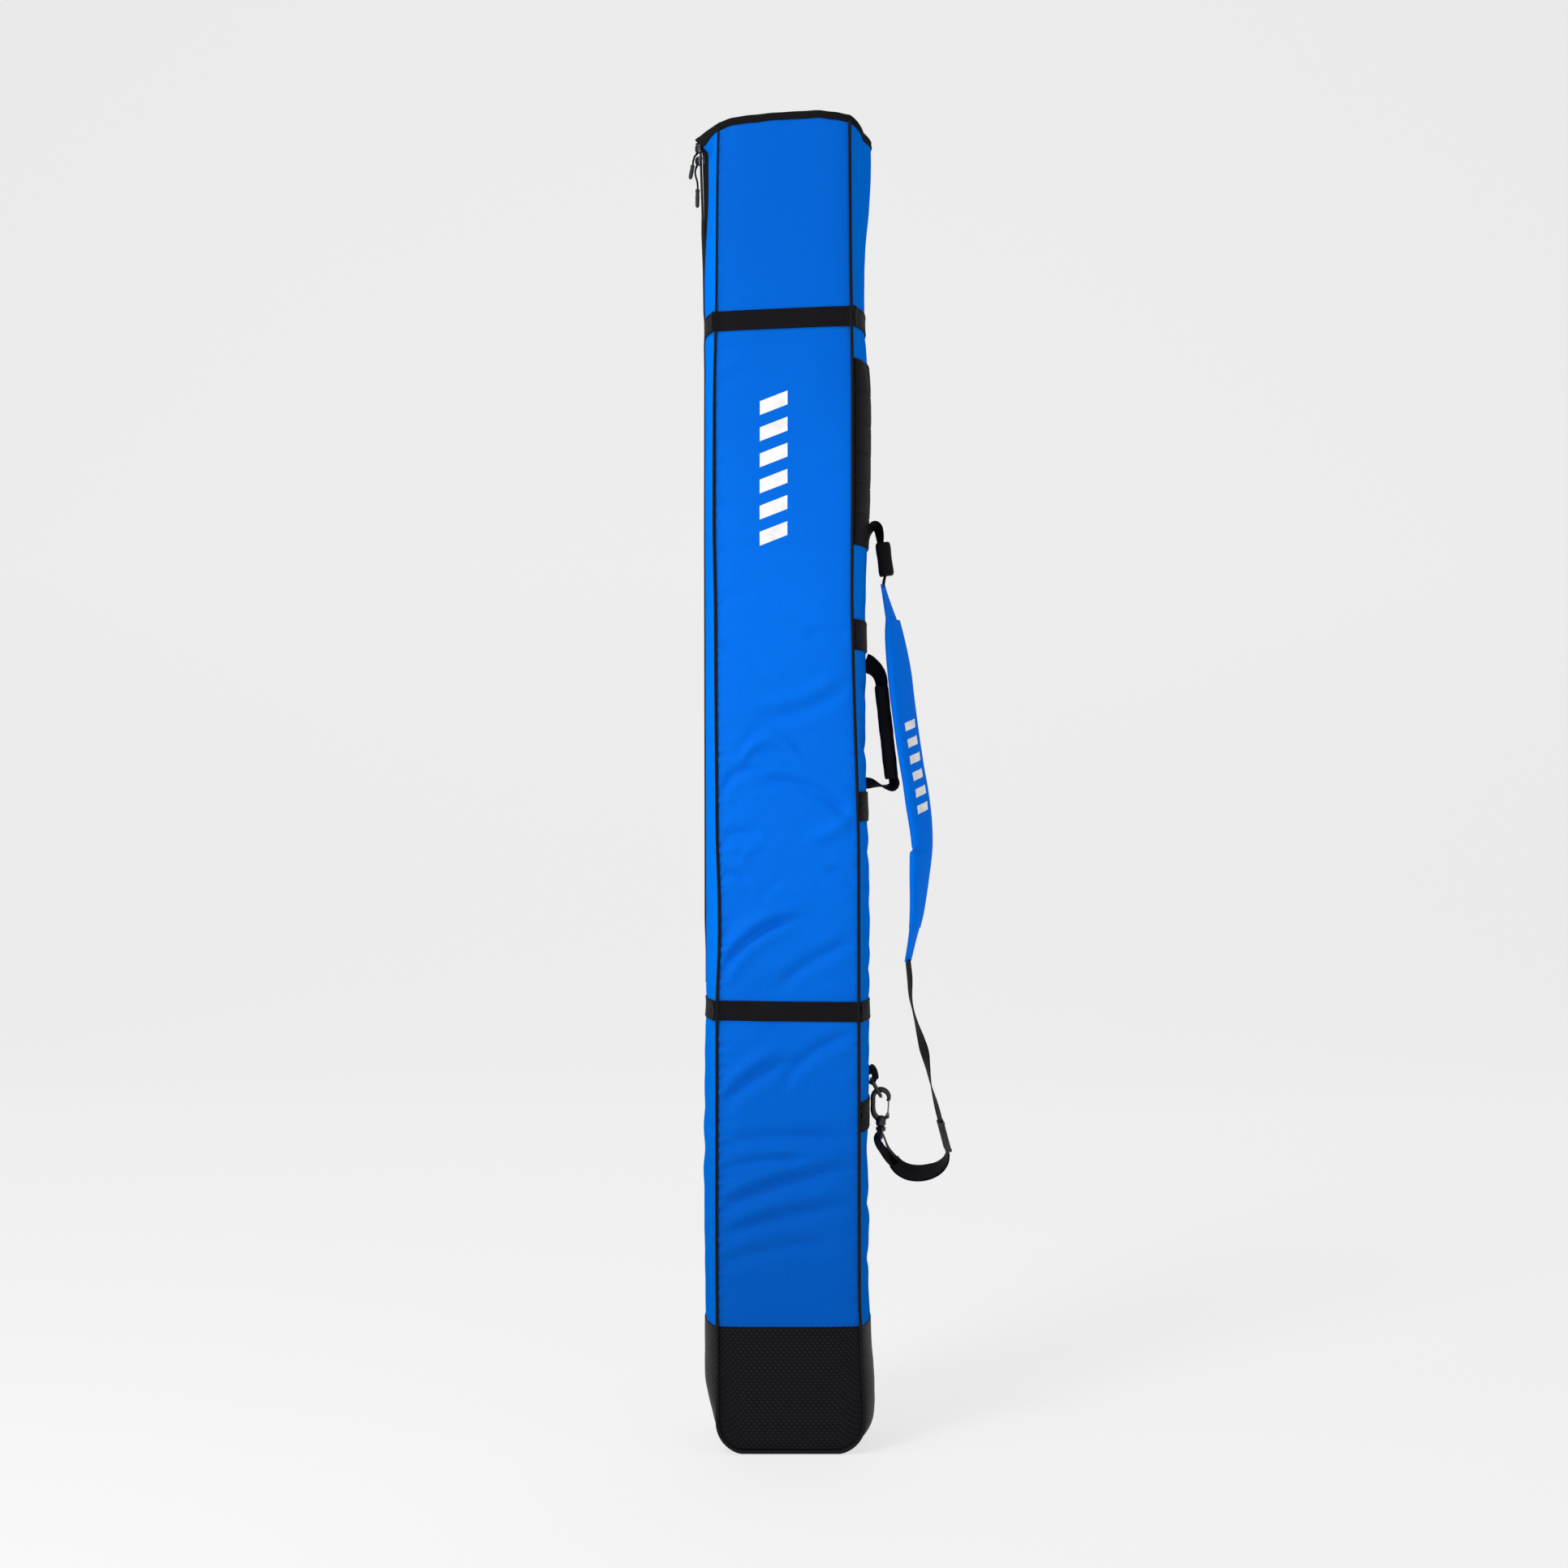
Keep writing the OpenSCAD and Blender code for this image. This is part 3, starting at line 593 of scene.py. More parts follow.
seam_right = profile([(0, 94), (120, 95.5), (200, 93), (800, 92), (870, 90), (990, 86), (1110, 83),
                      (1250, 84), (1400, 84), (1550, 81.5), (1750, 80)])
seam_left = profile([(0, -91), (300, -92.5), (600, -92), (660, -88.5), (730, -89), (800, -92), (1000, -93.5),
                     (1110, -94), (1200, -96), (1400, -95.5), (1500, -93), (1650, -92), (1750, -90)])
back_right = profile([(0, 92), (1750, 91)])
back_left = profile([(0, -92), (1750, -92)])
apex_right = profile([(0, 109), (97, 113), (160, 109.5), (230, 106.5), (300, 108.0), (355, 106.4),
                      (390, 105.0), (440, 107.3), (560, 108.6), (730, 108.6), (850, 105), (930, 102.5),
                      (1020, 104), (1110, 103), (1180, 105.5), (1300, 108.5), (1400, 108.5), (1440, 105),
                      (1490, 102), (1570, 101.5), (1640, 106), (1690, 109.5), (1750, 109)], 14)
apex_lower = profile([(0, -106), (150, -109), (340, -111.5), (540, -110), (575, -108.5), (620, -109)], 14)


def zip_reach(z):
    """Distance of the zip from the middle plane, as the CAD holds it."""
    return 108.5 + 7.5 * (z - 610) / 1093


zip_bow = profile([(600, 0), (800, 1.2), (1000, 2.2), (1200, 3.2), (1420, 5.0), (1560, 4.0), (1650, 1.0),
                   (1695, -0.2), (1719, -0.4), (1726, -3.5), (1732, -10.0), (1760, -10.5)], 3.5)


def apex_left(z):
    return np.where(z > 606, -zip_reach(z) + zip_bow(z), apex_lower(z))


rim_front = profile([(-110, 1727), (-92, 1733.8), (-73, 1740.5), (-55, 1743.3), (-20, 1746.5), (30, 1750),
                     (44, 1750.3), (52, 1748.6), (66, 1747.6), (84, 1744.5)], 4)


def rim_right(v):
    return 1744.5 - 19.0 * (1 - np.abs(v) ** 2.2) - 1.0 * v


def rim_left(v):
    return np.where(v < 0, 1729.0 + 5.0 * v * v, 1729.0 + 11.5 * v * v)


def rim_back(x):
    return 1741.0 + 2.5 * np.cos(x / 55.0)


def smoothstep(a, b, x):
    t = np.clip((np.asarray(x, float) - a) / (b - a), 0, 1)
    return t * t * (3 - 2 * t)


# Main creases of the front panel: x and z of both ends, sideways bow, half-width and depth
FOLDS = [
    (-88, 628, 12, 700, 14, 7, -4.6), (-84, 640, 30, 712, 18, 12, 2.4), (-10, 612, 88, 668, 6, 8, -2.2),
    (-60, 905, 20, 905, 26, 8, 2.4), (-34, 878, 90, 820, 18, 8, -3.2), (-86, 862, -20, 884, 18, 7, -2.0),
    (-88, 800, -38, 806, 6, 8, -2.2), (-90, 755, -52, 748, 4, 6, -2.4), (-60, 775, -30, 795, 4, 6, 0.7),
    (24, 800, 90, 842, -8, 9, 1.8), (50, 760, 90, 742, 4, 7, -1.6), (-40, 722, -6, 745, 4, 6, -0.7),
    (-86, 455, 10, 512, 10, 9, -2.6), (-84, 470, 0, 530, 10, 9, 1.8), (-8, 480, 88, 548, 12, 8, -2.2),
    (-88, 402, 88, 408, 9, 9, -1.8), (-20, 395, 88, 378, 8, 8, 1.6), (-88, 372, 30, 384, 6, 7, -1.6),
    (-86, 322, 88, 372, 8, 9, -2.4), (-86, 338, 60, 384, 8, 8, 1.6), (-86, 285, 88, 325, 8, 9, -2.0),
    (-80, 300, 70, 338, 8, 9, 1.4), (-88, 248, 60, 276, 6, 9, -1.6), (-88, 560, -20, 545, 4, 8, -1.6),
    (30, 1068, 84, 1064, 3, 7, -1.4), (-88, 1052, -30, 1030, 5, 8, -1.4), (-30, 960, 84, 1002, -10, 9, -1.5),
    (-20, 980, 70, 1014, -8, 9, 1.2), (-90, 1110, -40, 1120, 3, 8, -0.9), (-88, 1180, 60, 1170, 4, 10, -0.8),
    (-88, 1240, -20, 1228, 4, 9, -0.8), (-88, 1440, 80, 1446, 5, 9, -0.8), (-88, 1395, -40, 1405, 3, 8, -0.8),
    (-70, 1330, 80, 1318, 4, 12, -0.6), (-60, 700, 40, 735, 10, 14, 1.0), (-50, 560, 60, 600, 6, 14, 1.4),
]


def crease(x, z, fold):
    """Height of one crease at points x, z."""
    x0, z0, x1, z1, bow, width, depth = fold
    dx, dz = x1 - x0, z1 - z0
    long = math.hypot(dx, dz)
    ux, uz = dx / long, dz / long
    along = ((x - x0) * ux + (z - z0) * uz) / long
    off = -(x - x0) * uz + (z - z0) * ux - bow * 4 * np.clip(along, 0, 1) * (1 - np.clip(along, 0, 1))
    ends = smoothstep(-0.12, 0.18, along) * (1 - smoothstep(0.72, 1.1, along))
    beside = (np.abs(off) - 2.1 * width) / (1.2 * width)
    shape = np.exp(-((off / width) ** 2)) - 0.32 * np.exp(-(beside**2))
    return depth * ends * shape


def waves(x, z, seed, low=60.0, high=18.0):
    """Gentle undulation from sine waves whose sizes and tilts are drawn from a fixed seed."""
    rng = np.random.default_rng(seed)
    total = np.zeros_like(np.asarray(x, float) + np.asarray(z, float))
    for _ in range(14):
        size = rng.uniform(high, low)
        tilt = rng.normal(0.0, 0.35)
        phase = rng.uniform(0, 2 * math.pi)
        total += size / low * np.sin((z * math.cos(tilt) + x * math.sin(tilt)) / size * 2 * math.pi + phase)
    return total / 5.0


def puckers(run, edge, seed, reach=13.0, size=0.55):
    """Small gathers along a seam: run is the way along it and edge the distance from it."""
    rng = np.random.default_rng(seed)
    total = np.zeros_like(np.asarray(run, float) + np.asarray(edge, float))
    for _ in range(6):
        pitch = rng.uniform(9, 26)
        total += np.sin(run / pitch * 2 * math.pi + rng.uniform(0, 2 * math.pi))
    return size * total / 2.4 * np.exp(-np.maximum(edge, 0) / reach)


# Creases of the right gusset: y and z of both ends, bow, half-width and depth
GUSSET_FOLDS = [
    (-40, 1738, -8, 1560, 6, 8, -2.6), (-8, 1590, -44, 1500, 4, 8, -2.0), (-20, 1740, 10, 1600, 4, 10, 1.6),
    (-48, 1440, -20, 1405, 3, 8, -1.4), (-50, 1120, 0, 1090, 4, 9, -1.8), (-50, 1010, 5, 985, 4, 8, -2.0),
    (-46, 930, 20, 905, 5, 9, -2.2), (-50, 800, 10, 770, 5, 9, -1.8), (-52, 690, 0, 655, 5, 9, -1.8),
    (-46, 640, 30, 610, 4, 8, -1.6), (-50, 520, 0, 500, 4, 8, -1.4), (-48, 400, 10, 375, 5, 9, -2.0),
    (-50, 330, 20, 300, 5, 9, -2.2), (-44, 250, 30, 228, 4, 9, -1.8), (30, 1380, 50, 1200, 3, 9, -1.5),
    (40, 980, 5, 880, 5, 9, -1.8), (45, 700, 0, 640, 5, 9, -1.8), (40, 400, 0, 340, 5, 9, -1.8),
]


def seam_dip(z):
    """The walls pull in at the base seam and under the bands."""
    return (1.3 * np.exp(-(((z - BASE_TOP) / 3.0) ** 2)) + 1.6 * np.exp(-(((z - LOWER_BAND_Z) / 17.0) ** 4))
            + 1.2 * np.exp(-(((z - UPPER_BAND_Z) / 17.0) ** 4)))


def tightness(z):
    """How slack the cloth is: 0 is taut, 1 is slack."""
    return 0.25 + 0.75 * np.exp(-(((z - 820) / 260.0) ** 2)) + 0.7 * np.exp(-(((z - 400) / 200.0) ** 2))


def face_lift(x, z, half, seed, folds):
    """How far a front or back panel stands out from its plane."""
    edge = half - np.abs(x)
    mask = smoothstep(0, 14, edge)
    out = 3.6 * (1 - np.clip(1 - edge / 60.0, 0, 1) ** 3)
    out = out + mask * 0.55 * tightness(z) * waves(x, z, seed)
    for fold in folds:
        out = out + 1.55 * crease(x, z, fold) * (0.25 + 0.75 * mask)
    left_side = 1.0 + 0.9 * (x < 0)
    out = out + left_side * puckers(z, edge, seed + 5) * tightness(z) ** 0.5
    return out - seam_dip(z) * 1.2


CLOTH_INSET = 1.3


def deep_lift(edge, z):
    """Stand-off of the foam and lining of a panel: smooth, and below every crease of the cloth."""
    crown = 3.6 * (1 - np.clip(1 - edge / 60.0, 0, 1) ** 3)
    sink = 6.5 * np.clip(tightness(z), 0, 1.3)
    return crown - sink * smoothstep(0, 14, edge) - 1.2 * seam_dip(z)


def front_wall(t, z, inset):
    left, right = seam_left(z), seam_right(z)
    half = (right - left) / 2
    x = (left + right) / 2 + (half - 0.9 * inset) * t
    middle = (left + right) / 2
    if inset > CLOTH_INSET:
        lift = deep_lift(half - np.abs(x - middle), z)
    else:
        lift = face_lift(x - middle, z, half, 3, FOLDS)
    return np.stack([x, -HALF_D - lift + inset, z + 0 * x], -1)


BACK_FOLDS = [(-x1, z1 + 60, -x0, z0 + 40, b, w, 0.8 * d) for x0, z0, x1, z1, b, w, d in FOLDS[::2]]


def back_wall(t, z, inset):
    left, right = back_left(z), back_right(z)
    half = (right - left) / 2
    x = (left + right) / 2 + (half - 0.9 * inset) * t
    middle = (left + right) / 2
    if inset > CLOTH_INSET:
        lift = deep_lift(half - np.abs(x - middle), z)
    else:
        lift = face_lift(x - middle, z, half, 11, BACK_FOLDS)
    return np.stack([x, HALF_D + lift - inset, z + 0 * x], -1)


def gusset_swell(v):
    return np.clip(1 - v * v, 0, 1) ** 0.72


def right_wall(v, z, inset):
    y = (HALF_D - inset) * v
    line = seam_right(z) + (back_right(z) - seam_right(z)) * (v + 1) / 2
    middle = (seam_right(z) + back_right(z)) / 2
    rise = (apex_right(z) - middle) * gusset_swell(v)
    edge = HALF_D * (1 - np.abs(v))
    if inset > CLOTH_INSET:
        ripple = -3.5 * smoothstep(0, 12, edge)
    else:
        ripple = smoothstep(0, 10, edge) * 0.7 * tightness(z) * waves(0.7 * y, z, 23, 70, 26)
        ripple = ripple + puckers(z, edge, 29, 12, 0.9) * tightness(z) ** 0.5
        for fold in GUSSET_FOLDS:
            ripple = ripple + crease(y, z, fold) * smoothstep(0, 12, edge)
        ripple = ripple * (1 - 0.8 * np.exp(-(((z - 385) / 40) ** 2)))
    x = line + rise + ripple - inset - 0.7 * seam_dip(z)
    return np.stack([x, y, z + 0 * x], -1)


def left_wall(v, z, inset):
    y = (HALF_D - inset) * v
    line = seam_left(z) + (back_left(z) - seam_left(z)) * (v + 1) / 2
    middle = (seam_left(z) + back_left(z)) / 2
    flare = smoothstep(1500, 1725, z)
    swell = gusset_swell(v)
    shape = (1 - flare) * swell + flare * (0.42 * swell + 0.58 * np.clip(1 - np.abs(v), 0, 1) ** 2.0)
    ridge = 0.45 * smoothstep(1535, 1665, z)
    shape = (1 - ridge) * shape + ridge * np.exp(-((y / 7.0) ** 2))
    rim = smoothstep(1708, 1727, z)
    shape = (1 - rim) * shape + rim * np.clip((1 - np.abs(v)) / (1 - 9.5 / HALF_D), 0, 1) ** 0.85
    rise = (apex_left(z) - middle) * shape
    edge = HALF_D * (1 - np.abs(v))
    near_zip = np.where(z > ZIP_Z0 - 10, smoothstep(8, 24, np.abs(y)), 1.0)
    if inset > CLOTH_INSET:
        beside = np.where(z > ZIP_Z0 - 10, smoothstep(22, 34, np.abs(y)), 1.0)
        ripple = -3.0 * smoothstep(0, 12, edge) * beside
    else:
        ripple = smoothstep(0, 10, edge) * near_zip * 0.9 * tightness(z) * waves(0.7 * y, z, 41, 70, 26)
        ripple = ripple + puckers(z, edge, 43, 14, 1.3) * tightness(z) ** 0.5 * near_zip
    x = line + rise - ripple + inset + 0.7 * seam_dip(z)
    return np.stack([x, y, z + 0 * x], -1)


WALLS = {"front": front_wall, "back": back_wall, "right": right_wall, "left": left_wall}


def rim_height(side, t):
    """Height of the mouth's rim at a place on a wall."""
    t = np.asarray(t, float)
    if side == "front":
        left, right = seam_left(RIM_Z), seam_right(RIM_Z)
        return rim_front((left + right) / 2 + (right - left) / 2 * t)
    if side == "back":
        return rim_back(HALF_WIDTH * t)
    return rim_right(t) if side == "right" else rim_left(t)


def panel_grid(side, t0, t1, z0, z1, inset, cols, rows):
    """Grid of wall points from t0 to t1 and from z0 to z1, or to just below the rim where z1 is None."""
    t = np.linspace(t0, t1, cols)
    if z1 is None:
        top = rim_height(side, t)[None, :] - BELOW_RIM
    else:
        top = np.full((1, cols), float(z1))
    z = z0 + (top - z0) * np.linspace(0, 1, rows)[:, None]
    return WALLS[side](np.broadcast_to(t, z.shape), z, inset)


# ---------------------------------------------------------------- the bag's walls


BELOW_RIM = 5.0  # how far the cloth stops below the mouth's rim, inside its binding
WALL_Z0 = BASE_TOP + 0.4
V_SLOT = 9.0 / HALF_D  # half the slot that the zip fills, as a part of the gusset's half width
V_TAPE = 22.0 / HALF_D  # half the width of the zip's tapes, in the same measure

# Cloth of each wall: piece, CAD node, wall, its two sides, foot, top, material, columns and rows
WALL_CLOTHS = [
    ("front_panel", "front_panel", "front", -1, 1, WALL_Z0, None, "panel", 62, 520),
    ("back_panel", "back_panel", "back", -1, 1, WALL_Z0, None, "panel", 50, 420),
    ("right_gusset", "right_gusset", "right", -1, 1, WALL_Z0, None, "side", 36, 420),
    ("left_gusset", "left_gusset_lower", "left", -1, 1, WALL_Z0, ZIP_Z0, "side", 36, 130),
    ("zip_gusset_front", "zip_gusset_front", "left", -1, -V_SLOT, ZIP_Z0, None, "side", 22, 320),
    ("zip_gusset_back", "zip_gusset_back", "left", V_SLOT, 1, ZIP_Z0, None, "side", 22, 320),
]

# Foam behind each wall: CAD node, wall, its two sides, foot and top
WALL_FOAMS = [
    ("front_foam", "front", -0.97, 0.97, WALL_Z0, None),
    ("back_foam", "back", -0.97, 0.97, WALL_Z0, None),
    ("right_foam", "right", -0.9, 0.9, WALL_Z0, None),
    ("left_foam_lower", "left", -0.9, 0.9, WALL_Z0, ZIP_Z0),
    ("left_foam_front", "left", -0.9, -V_TAPE, ZIP_Z0, None),
    ("left_foam_back", "left", V_TAPE, 0.9, ZIP_Z0, None),
]


def make_walls():
    for name, node, side, t0, t1, z0, z1, material, cols, rows in WALL_CLOTHS:
        outer, inner = [panel_grid(side, t0, t1, z0, z1, inset, cols, rows) for inset in (0.0, SKIN)]
        slab(name + "_cloth", outer, inner, material, body="bag", slot=material + "_cloth", nodes=[node])
    for name, side, t0, t1, z0, z1 in WALL_FOAMS:
        outer, inner = [panel_grid(side, t0, t1, z0, z1, inset, 16, 80) for inset in (SKIN + 0.4, FOAM_IN)]
        slab(name + "_sheet", outer, inner, "foam", body="bag", slot="foam", nodes=[name])


make_walls()


def around_bag(gap, per_mm):
    """Stations round the bag from the zip's front edge to its back edge: side and place on it."""
    spans = [("left", -gap / HALF_D, -1.0, 60), ("front", -1.0, 1.0, 180), ("right", -1.0, 1.0, 140),
             ("back", 1.0, -1.0, 184), ("left", 1.0, gap / HALF_D, 60)]
    out = []
    for side, a, b, run in spans:
        count = max(4, int(run * per_mm))
        for i in range(count):
            f = i / count
            eased = 0.5 - 0.5 * math.cos(math.pi * f)
            out.append((side, a + (b - a) * (0.5 * f + 0.5 * eased)))
    out.append(("left", gap / HALF_D))
    return out


def wall_point(side, t, z, inset):
    return WALLS[side](np.float64(t), np.float64(z), inset)


def make_lining():
    stations = around_bag(22, 0.16)
    rows = 60
    grids = []
    for inset in (FOAM_IN + 0.1, LINING_IN):
        cols = []
        for side, t in stations:
            z = np.linspace(BASE_TOP - 2, float(rim_height(side, t)) - 4, rows)
            cols.append(WALLS[side](np.full(rows, t), z, inset))
        grids.append(np.stack(cols, 1))
    slab("lining_cloth_tube", grids[0], grids[1], "lining", body="bag", slot="lining", nodes=["lining"])


make_lining()

# ---------------------------------------------------------------- the base

CORNER_R = 40.0
BASE_Z0 = 2.0
BASE_LEFT = -91.5
BASE_RIGHT = 95.5


def base_edge(count):
    """Front outline of the base as a U: points x, z and their outward normals."""
    r = CORNER_R
    low = BASE_Z0 + r
    pts, nrm = [], []
    for f in np.linspace(0, 1, 12, endpoint=False):
        pts.append((BASE_LEFT, BASE_TOP + (low - BASE_TOP) * f))
        nrm.append((-1, 0))
    for a in np.linspace(math.pi, 1.5 * math.pi, 14, endpoint=False):
        pts.append((BASE_LEFT + r + r * math.cos(a), low + r * math.sin(a)))
        nrm.append((math.cos(a), math.sin(a)))
    for f in np.linspace(0, 1, 10, endpoint=False):
        pts.append((BASE_LEFT + r + (BASE_RIGHT - BASE_LEFT - 2 * r) * f, BASE_Z0))
        nrm.append((0, -1))
    for a in np.linspace(1.5 * math.pi, 2 * math.pi, 14, endpoint=False):
        pts.append((BASE_RIGHT - r + r * math.cos(a), low + r * math.sin(a)))
        nrm.append((math.cos(a), math.sin(a)))
    for f in np.linspace(0, 1, 13):
        pts.append((BASE_RIGHT, low + (BASE_TOP - low) * f))
        nrm.append((1, 0))
    pts, nrm = np.array(pts), np.array(nrm, float)
    run = running_length(pts)
    even = np.linspace(0, run[-1], count)
    return at_length(even, run, pts), unit(at_length(even, run, nrm))


def corner_drift(x, z):
    """The base reaches a little further right towards its bottom right corner."""
    return 4.0 * smoothstep(150, 50, z) * smoothstep(0, 90, x)


def base_gusset_grid(inset, count=120, cols=36):
    edge, normal = base_edge(count)
    v = np.linspace(-1, 1, cols)
    low_side = np.where(edge[:, 0] < 0, smoothstep(2, 95, edge[:, 1]), smoothstep(-34, 44, edge[:, 1]))
    side = np.abs(normal[:, 0]) * low_side
    left_top = float(-apex_left(np.float64(BASE_TOP + 2)) + BASE_LEFT)
    right_top = float(apex_right(np.float64(BASE_TOP + 2)) - BASE_RIGHT)
    fuller = 2.0 * np.exp(-(((edge[:, 1] - 90) / 50) ** 2))
    swell_size = np.where(edge[:, 0] < 0, left_top, right_top + fuller)
    bulge = 1.2 + swell_size * side
    swell = gusset_swell(v)
    height = edge[:, 1][:, None]
    ripple = 0.35 * waves(v * 40, height + 0 * v, 61, 50, 24) * smoothstep(20, 60, height)
    push = bulge[:, None] * swell[None, :] - inset + ripple * (swell > 0.1)
    x = edge[:, 0][:, None] + normal[:, 0][:, None] * push
    z = edge[:, 1][:, None] + normal[:, 1][:, None] * push
    y = (HALF_D - inset) * v[None, :] + 0 * x
    return np.stack([x + corner_drift(x, z), y, z], -1)


def base_face_grid(sign, inset, cols=64, rows=60):
    t = np.sin(np.linspace(-1, 1, cols) * math.pi / 2)
    right, left = BASE_RIGHT - 0.9 * inset, BASE_LEFT + 0.9 * inset
    x = (left + right) / 2 + (right - left) / 2 * t
    r = CORNER_R - inset
    side = np.clip(np.abs(x - (left + right) / 2) - ((right - left) / 2 - r), 0, r)
    bottom = BASE_Z0 + inset + r - np.sqrt(np.maximum(r * r - side * side, 0))
    w = np.linspace(0, 1, rows)[:, None]
    z = bottom[None, :] + (BASE_TOP - bottom[None, :]) * w
    x = np.broadcast_to(x, z.shape)
    edge = np.minimum((right - left) / 2 - np.abs(x - (left + right) / 2), z - BASE_Z0)
    lift = 3.2 * (1 - np.clip(1 - edge / 50.0, 0, 1) ** 3) + 0.3 * waves(x, z, 71)
    lift = lift - 1.3 * np.exp(-(((z - BASE_TOP) / 3) ** 2))
    y = sign * (HALF_D + lift - inset)
    return np.stack([x + corner_drift(x, z), y, z], -1)


def make_base():
    look = {"material": "base", "body": "bag", "slot": "base_fabric"}
    slab("base_gusset_cloth", base_gusset_grid(0), base_gusset_grid(1.6), nodes=["base_gusset"], **look)
    for word, sign in (("front", -1), ("back", 1)):
        outer, inner = base_face_grid(sign, 0), base_face_grid(sign, 1.6)
        slab("base_" + word + "_cloth", outer, inner, nodes=["base_" + word], **look)
    foam, cloth_in = [], []
    for group, a, b in ((foam, 2.0, 6.2), (cloth_in, 6.4, 7.2)):
        group.append(slab_parts(base_gusset_grid(a, 60, 14), base_gusset_grid(b, 60, 14)))
        for sign in (-1, 1):
            group.append(slab_parts(base_face_grid(sign, a, 24, 16), base_face_grid(sign, b, 24, 16)))
    joined("base_foam_cup", foam, "foam", body="bag", slot="foam", nodes=["base_foam"])
    joined("base_lining_cup", cloth_in, "lining", body="bag", slot="lining", nodes=["base_lining"])


make_base()

# ---------------------------------------------------------------- piping, binding and bands


def base_blend(z):
    """0 on the walls, 1 on the base, with a soft change between."""
    return smoothstep(200, 120, z)


def piping_path(sign):
    """Down the left seam, round the base and up the right seam."""
    left_z = np.linspace(1725 if sign < 0 else 1734, 62, 240)
    right_z = np.linspace(1737 if sign < 0 else 1734, 62, 240)
    left_x = seam_left(left_z) if sign < 0 else back_left(left_z)
    right_x = seam_right(right_z) if sign < 0 else back_right(right_z)
    left_base, right_base = base_blend(left_z), base_blend(right_z)
    left_x = left_x * (1 - left_base) + BASE_LEFT * left_base
    right_x = right_x * (1 - right_base) + BASE_RIGHT * right_base
    edge, normal = base_edge(90)
    keep = edge[:, 1] < 60
    lower = edge[keep] + normal[keep] * 0.2
    points = [(x - 0.4, z) for x, z in zip(left_x, left_z)] + [tuple(p) for p in lower]
    points += [(x + 0.4, z) for x, z in zip(right_x[::-1], right_z[::-1])]
    points = np.array(points)
    points[:, 0] += corner_drift(points[:, 0], points[:, 1])
    wobble = 0.25 * waves(points[:, 1] * 0, points[:, 1] + points[:, 0], 83, 90, 30)
    y = sign * (HALF_D + 1.6 + wobble)
    return np.stack([points[:, 0], y, np.maximum(points[:, 1], 3.2)], -1)


def make_piping():
    for sign, word in ((-1, "front"), (1, "back")):
        path = piping_path(sign)
        slim = 1 - 0.42 * (path[:, 0] < 0) * smoothstep(1250, 1600, path[:, 2]) * (sign < 0)
        radius = 2.05 * slim + 0.5 * base_blend(path[:, 2])
        joined(word + "_piping_cord", [tube_parts(path, radius)], "piping", body="bag", slot="piping",
               nodes=[word + "_piping"], sharp=80)


make_piping()


def wrap_ring(station, z, section):
    """Points of a cross-section of (inset, height) pairs at a station."""
    side, t = station
    return np.array([wall_point(side, t, z + dz, inset) for inset, dz in section])


def make_binding():
    stations = around_bag(9.5, 0.4)
    rings = []
    for i, (side, t) in enumerate(stations):
        z = float(rim_height(side, t)) + 0.14 * math.sin(i * 0.61) + 0.2 * math.sin(i * 0.23 + 1)
        drop = 10.6 + 0.2 * math.sin(i * 0.31)
        section = [(0.2, -drop), (-0.9, -drop + 0.2), (-1.5, -drop + 1.4), (-1.3, -5.5), (-1.5, -2.2),
                   (-0.4, -0.4), (1.8, 0.3), (4.2, 0.5), (6.4, 0.1), (8.2, -0.9), (9.0, -3.0), (8.8, -6.0),
                   (9.0, -drop + 1.4), (8.4, -drop + 0.2), (7.2, -drop)]
        rings.append(wrap_ring((side, t), z, section))
    joined("mouth_binding_tape", [sweep_parts(np.array(rings))], "binding", body="bag", slot="binding",
           nodes=["mouth_binding"], sharp=70)
    line = np.array([wall_point(s, t, float(rim_height(s, t)) - 8.6, -1.55) for s, t in stations])
    out = np.array([wall_point(s, t, float(rim_height(s, t)) - 8.6, -3.0) for s, t in stations]) - line
    joined("binding_stitches", stitch_parts(line, out, 2.4, 1.2, 0.24), "thread", body="bag", slot="binding")


make_binding()


def corner_bump(side, t):
    """Extra stand-off where a band climbs over the piping."""
    half = HALF_WIDTH if side in ("front", "back") else HALF_D
    return 3.1 * math.exp(-(((1 - abs(t)) * half / 6.0) ** 2))


BAND_HALF = 13.0
BAND_STITCH = 11.0  # distance of a band's stitches from its middle


def band_rings(stations, centre, tilt):
    """Cross-sections of a band, and its lines of stitches as pairs of points on and off the cloth."""
    rings, low, high = [], [], []
    for side, t in stations:
        extra = corner_bump(side, t)
        z = centre + tilt * wall_point(side, t, centre, 0)[0] / HALF_WIDTH
        section = [(-0.15 - extra, f * BAND_HALF) for f in np.linspace(-1, 1, 7)]
        for f in np.linspace(1, -1, 7):
            section.append((-1.75 - extra + (0.35 if abs(f) == 1 else 0.0), f * BAND_HALF))
        rings.append(wrap_ring((side, t), z, section))
        for group, dz in ((low, -BAND_STITCH), (high, BAND_STITCH)):
            ends = [wall_point(side, t, z + dz, -lift - extra) for lift in (1.8, 3.5)]
            group.append(ends)
    return np.array(rings), (low, high)


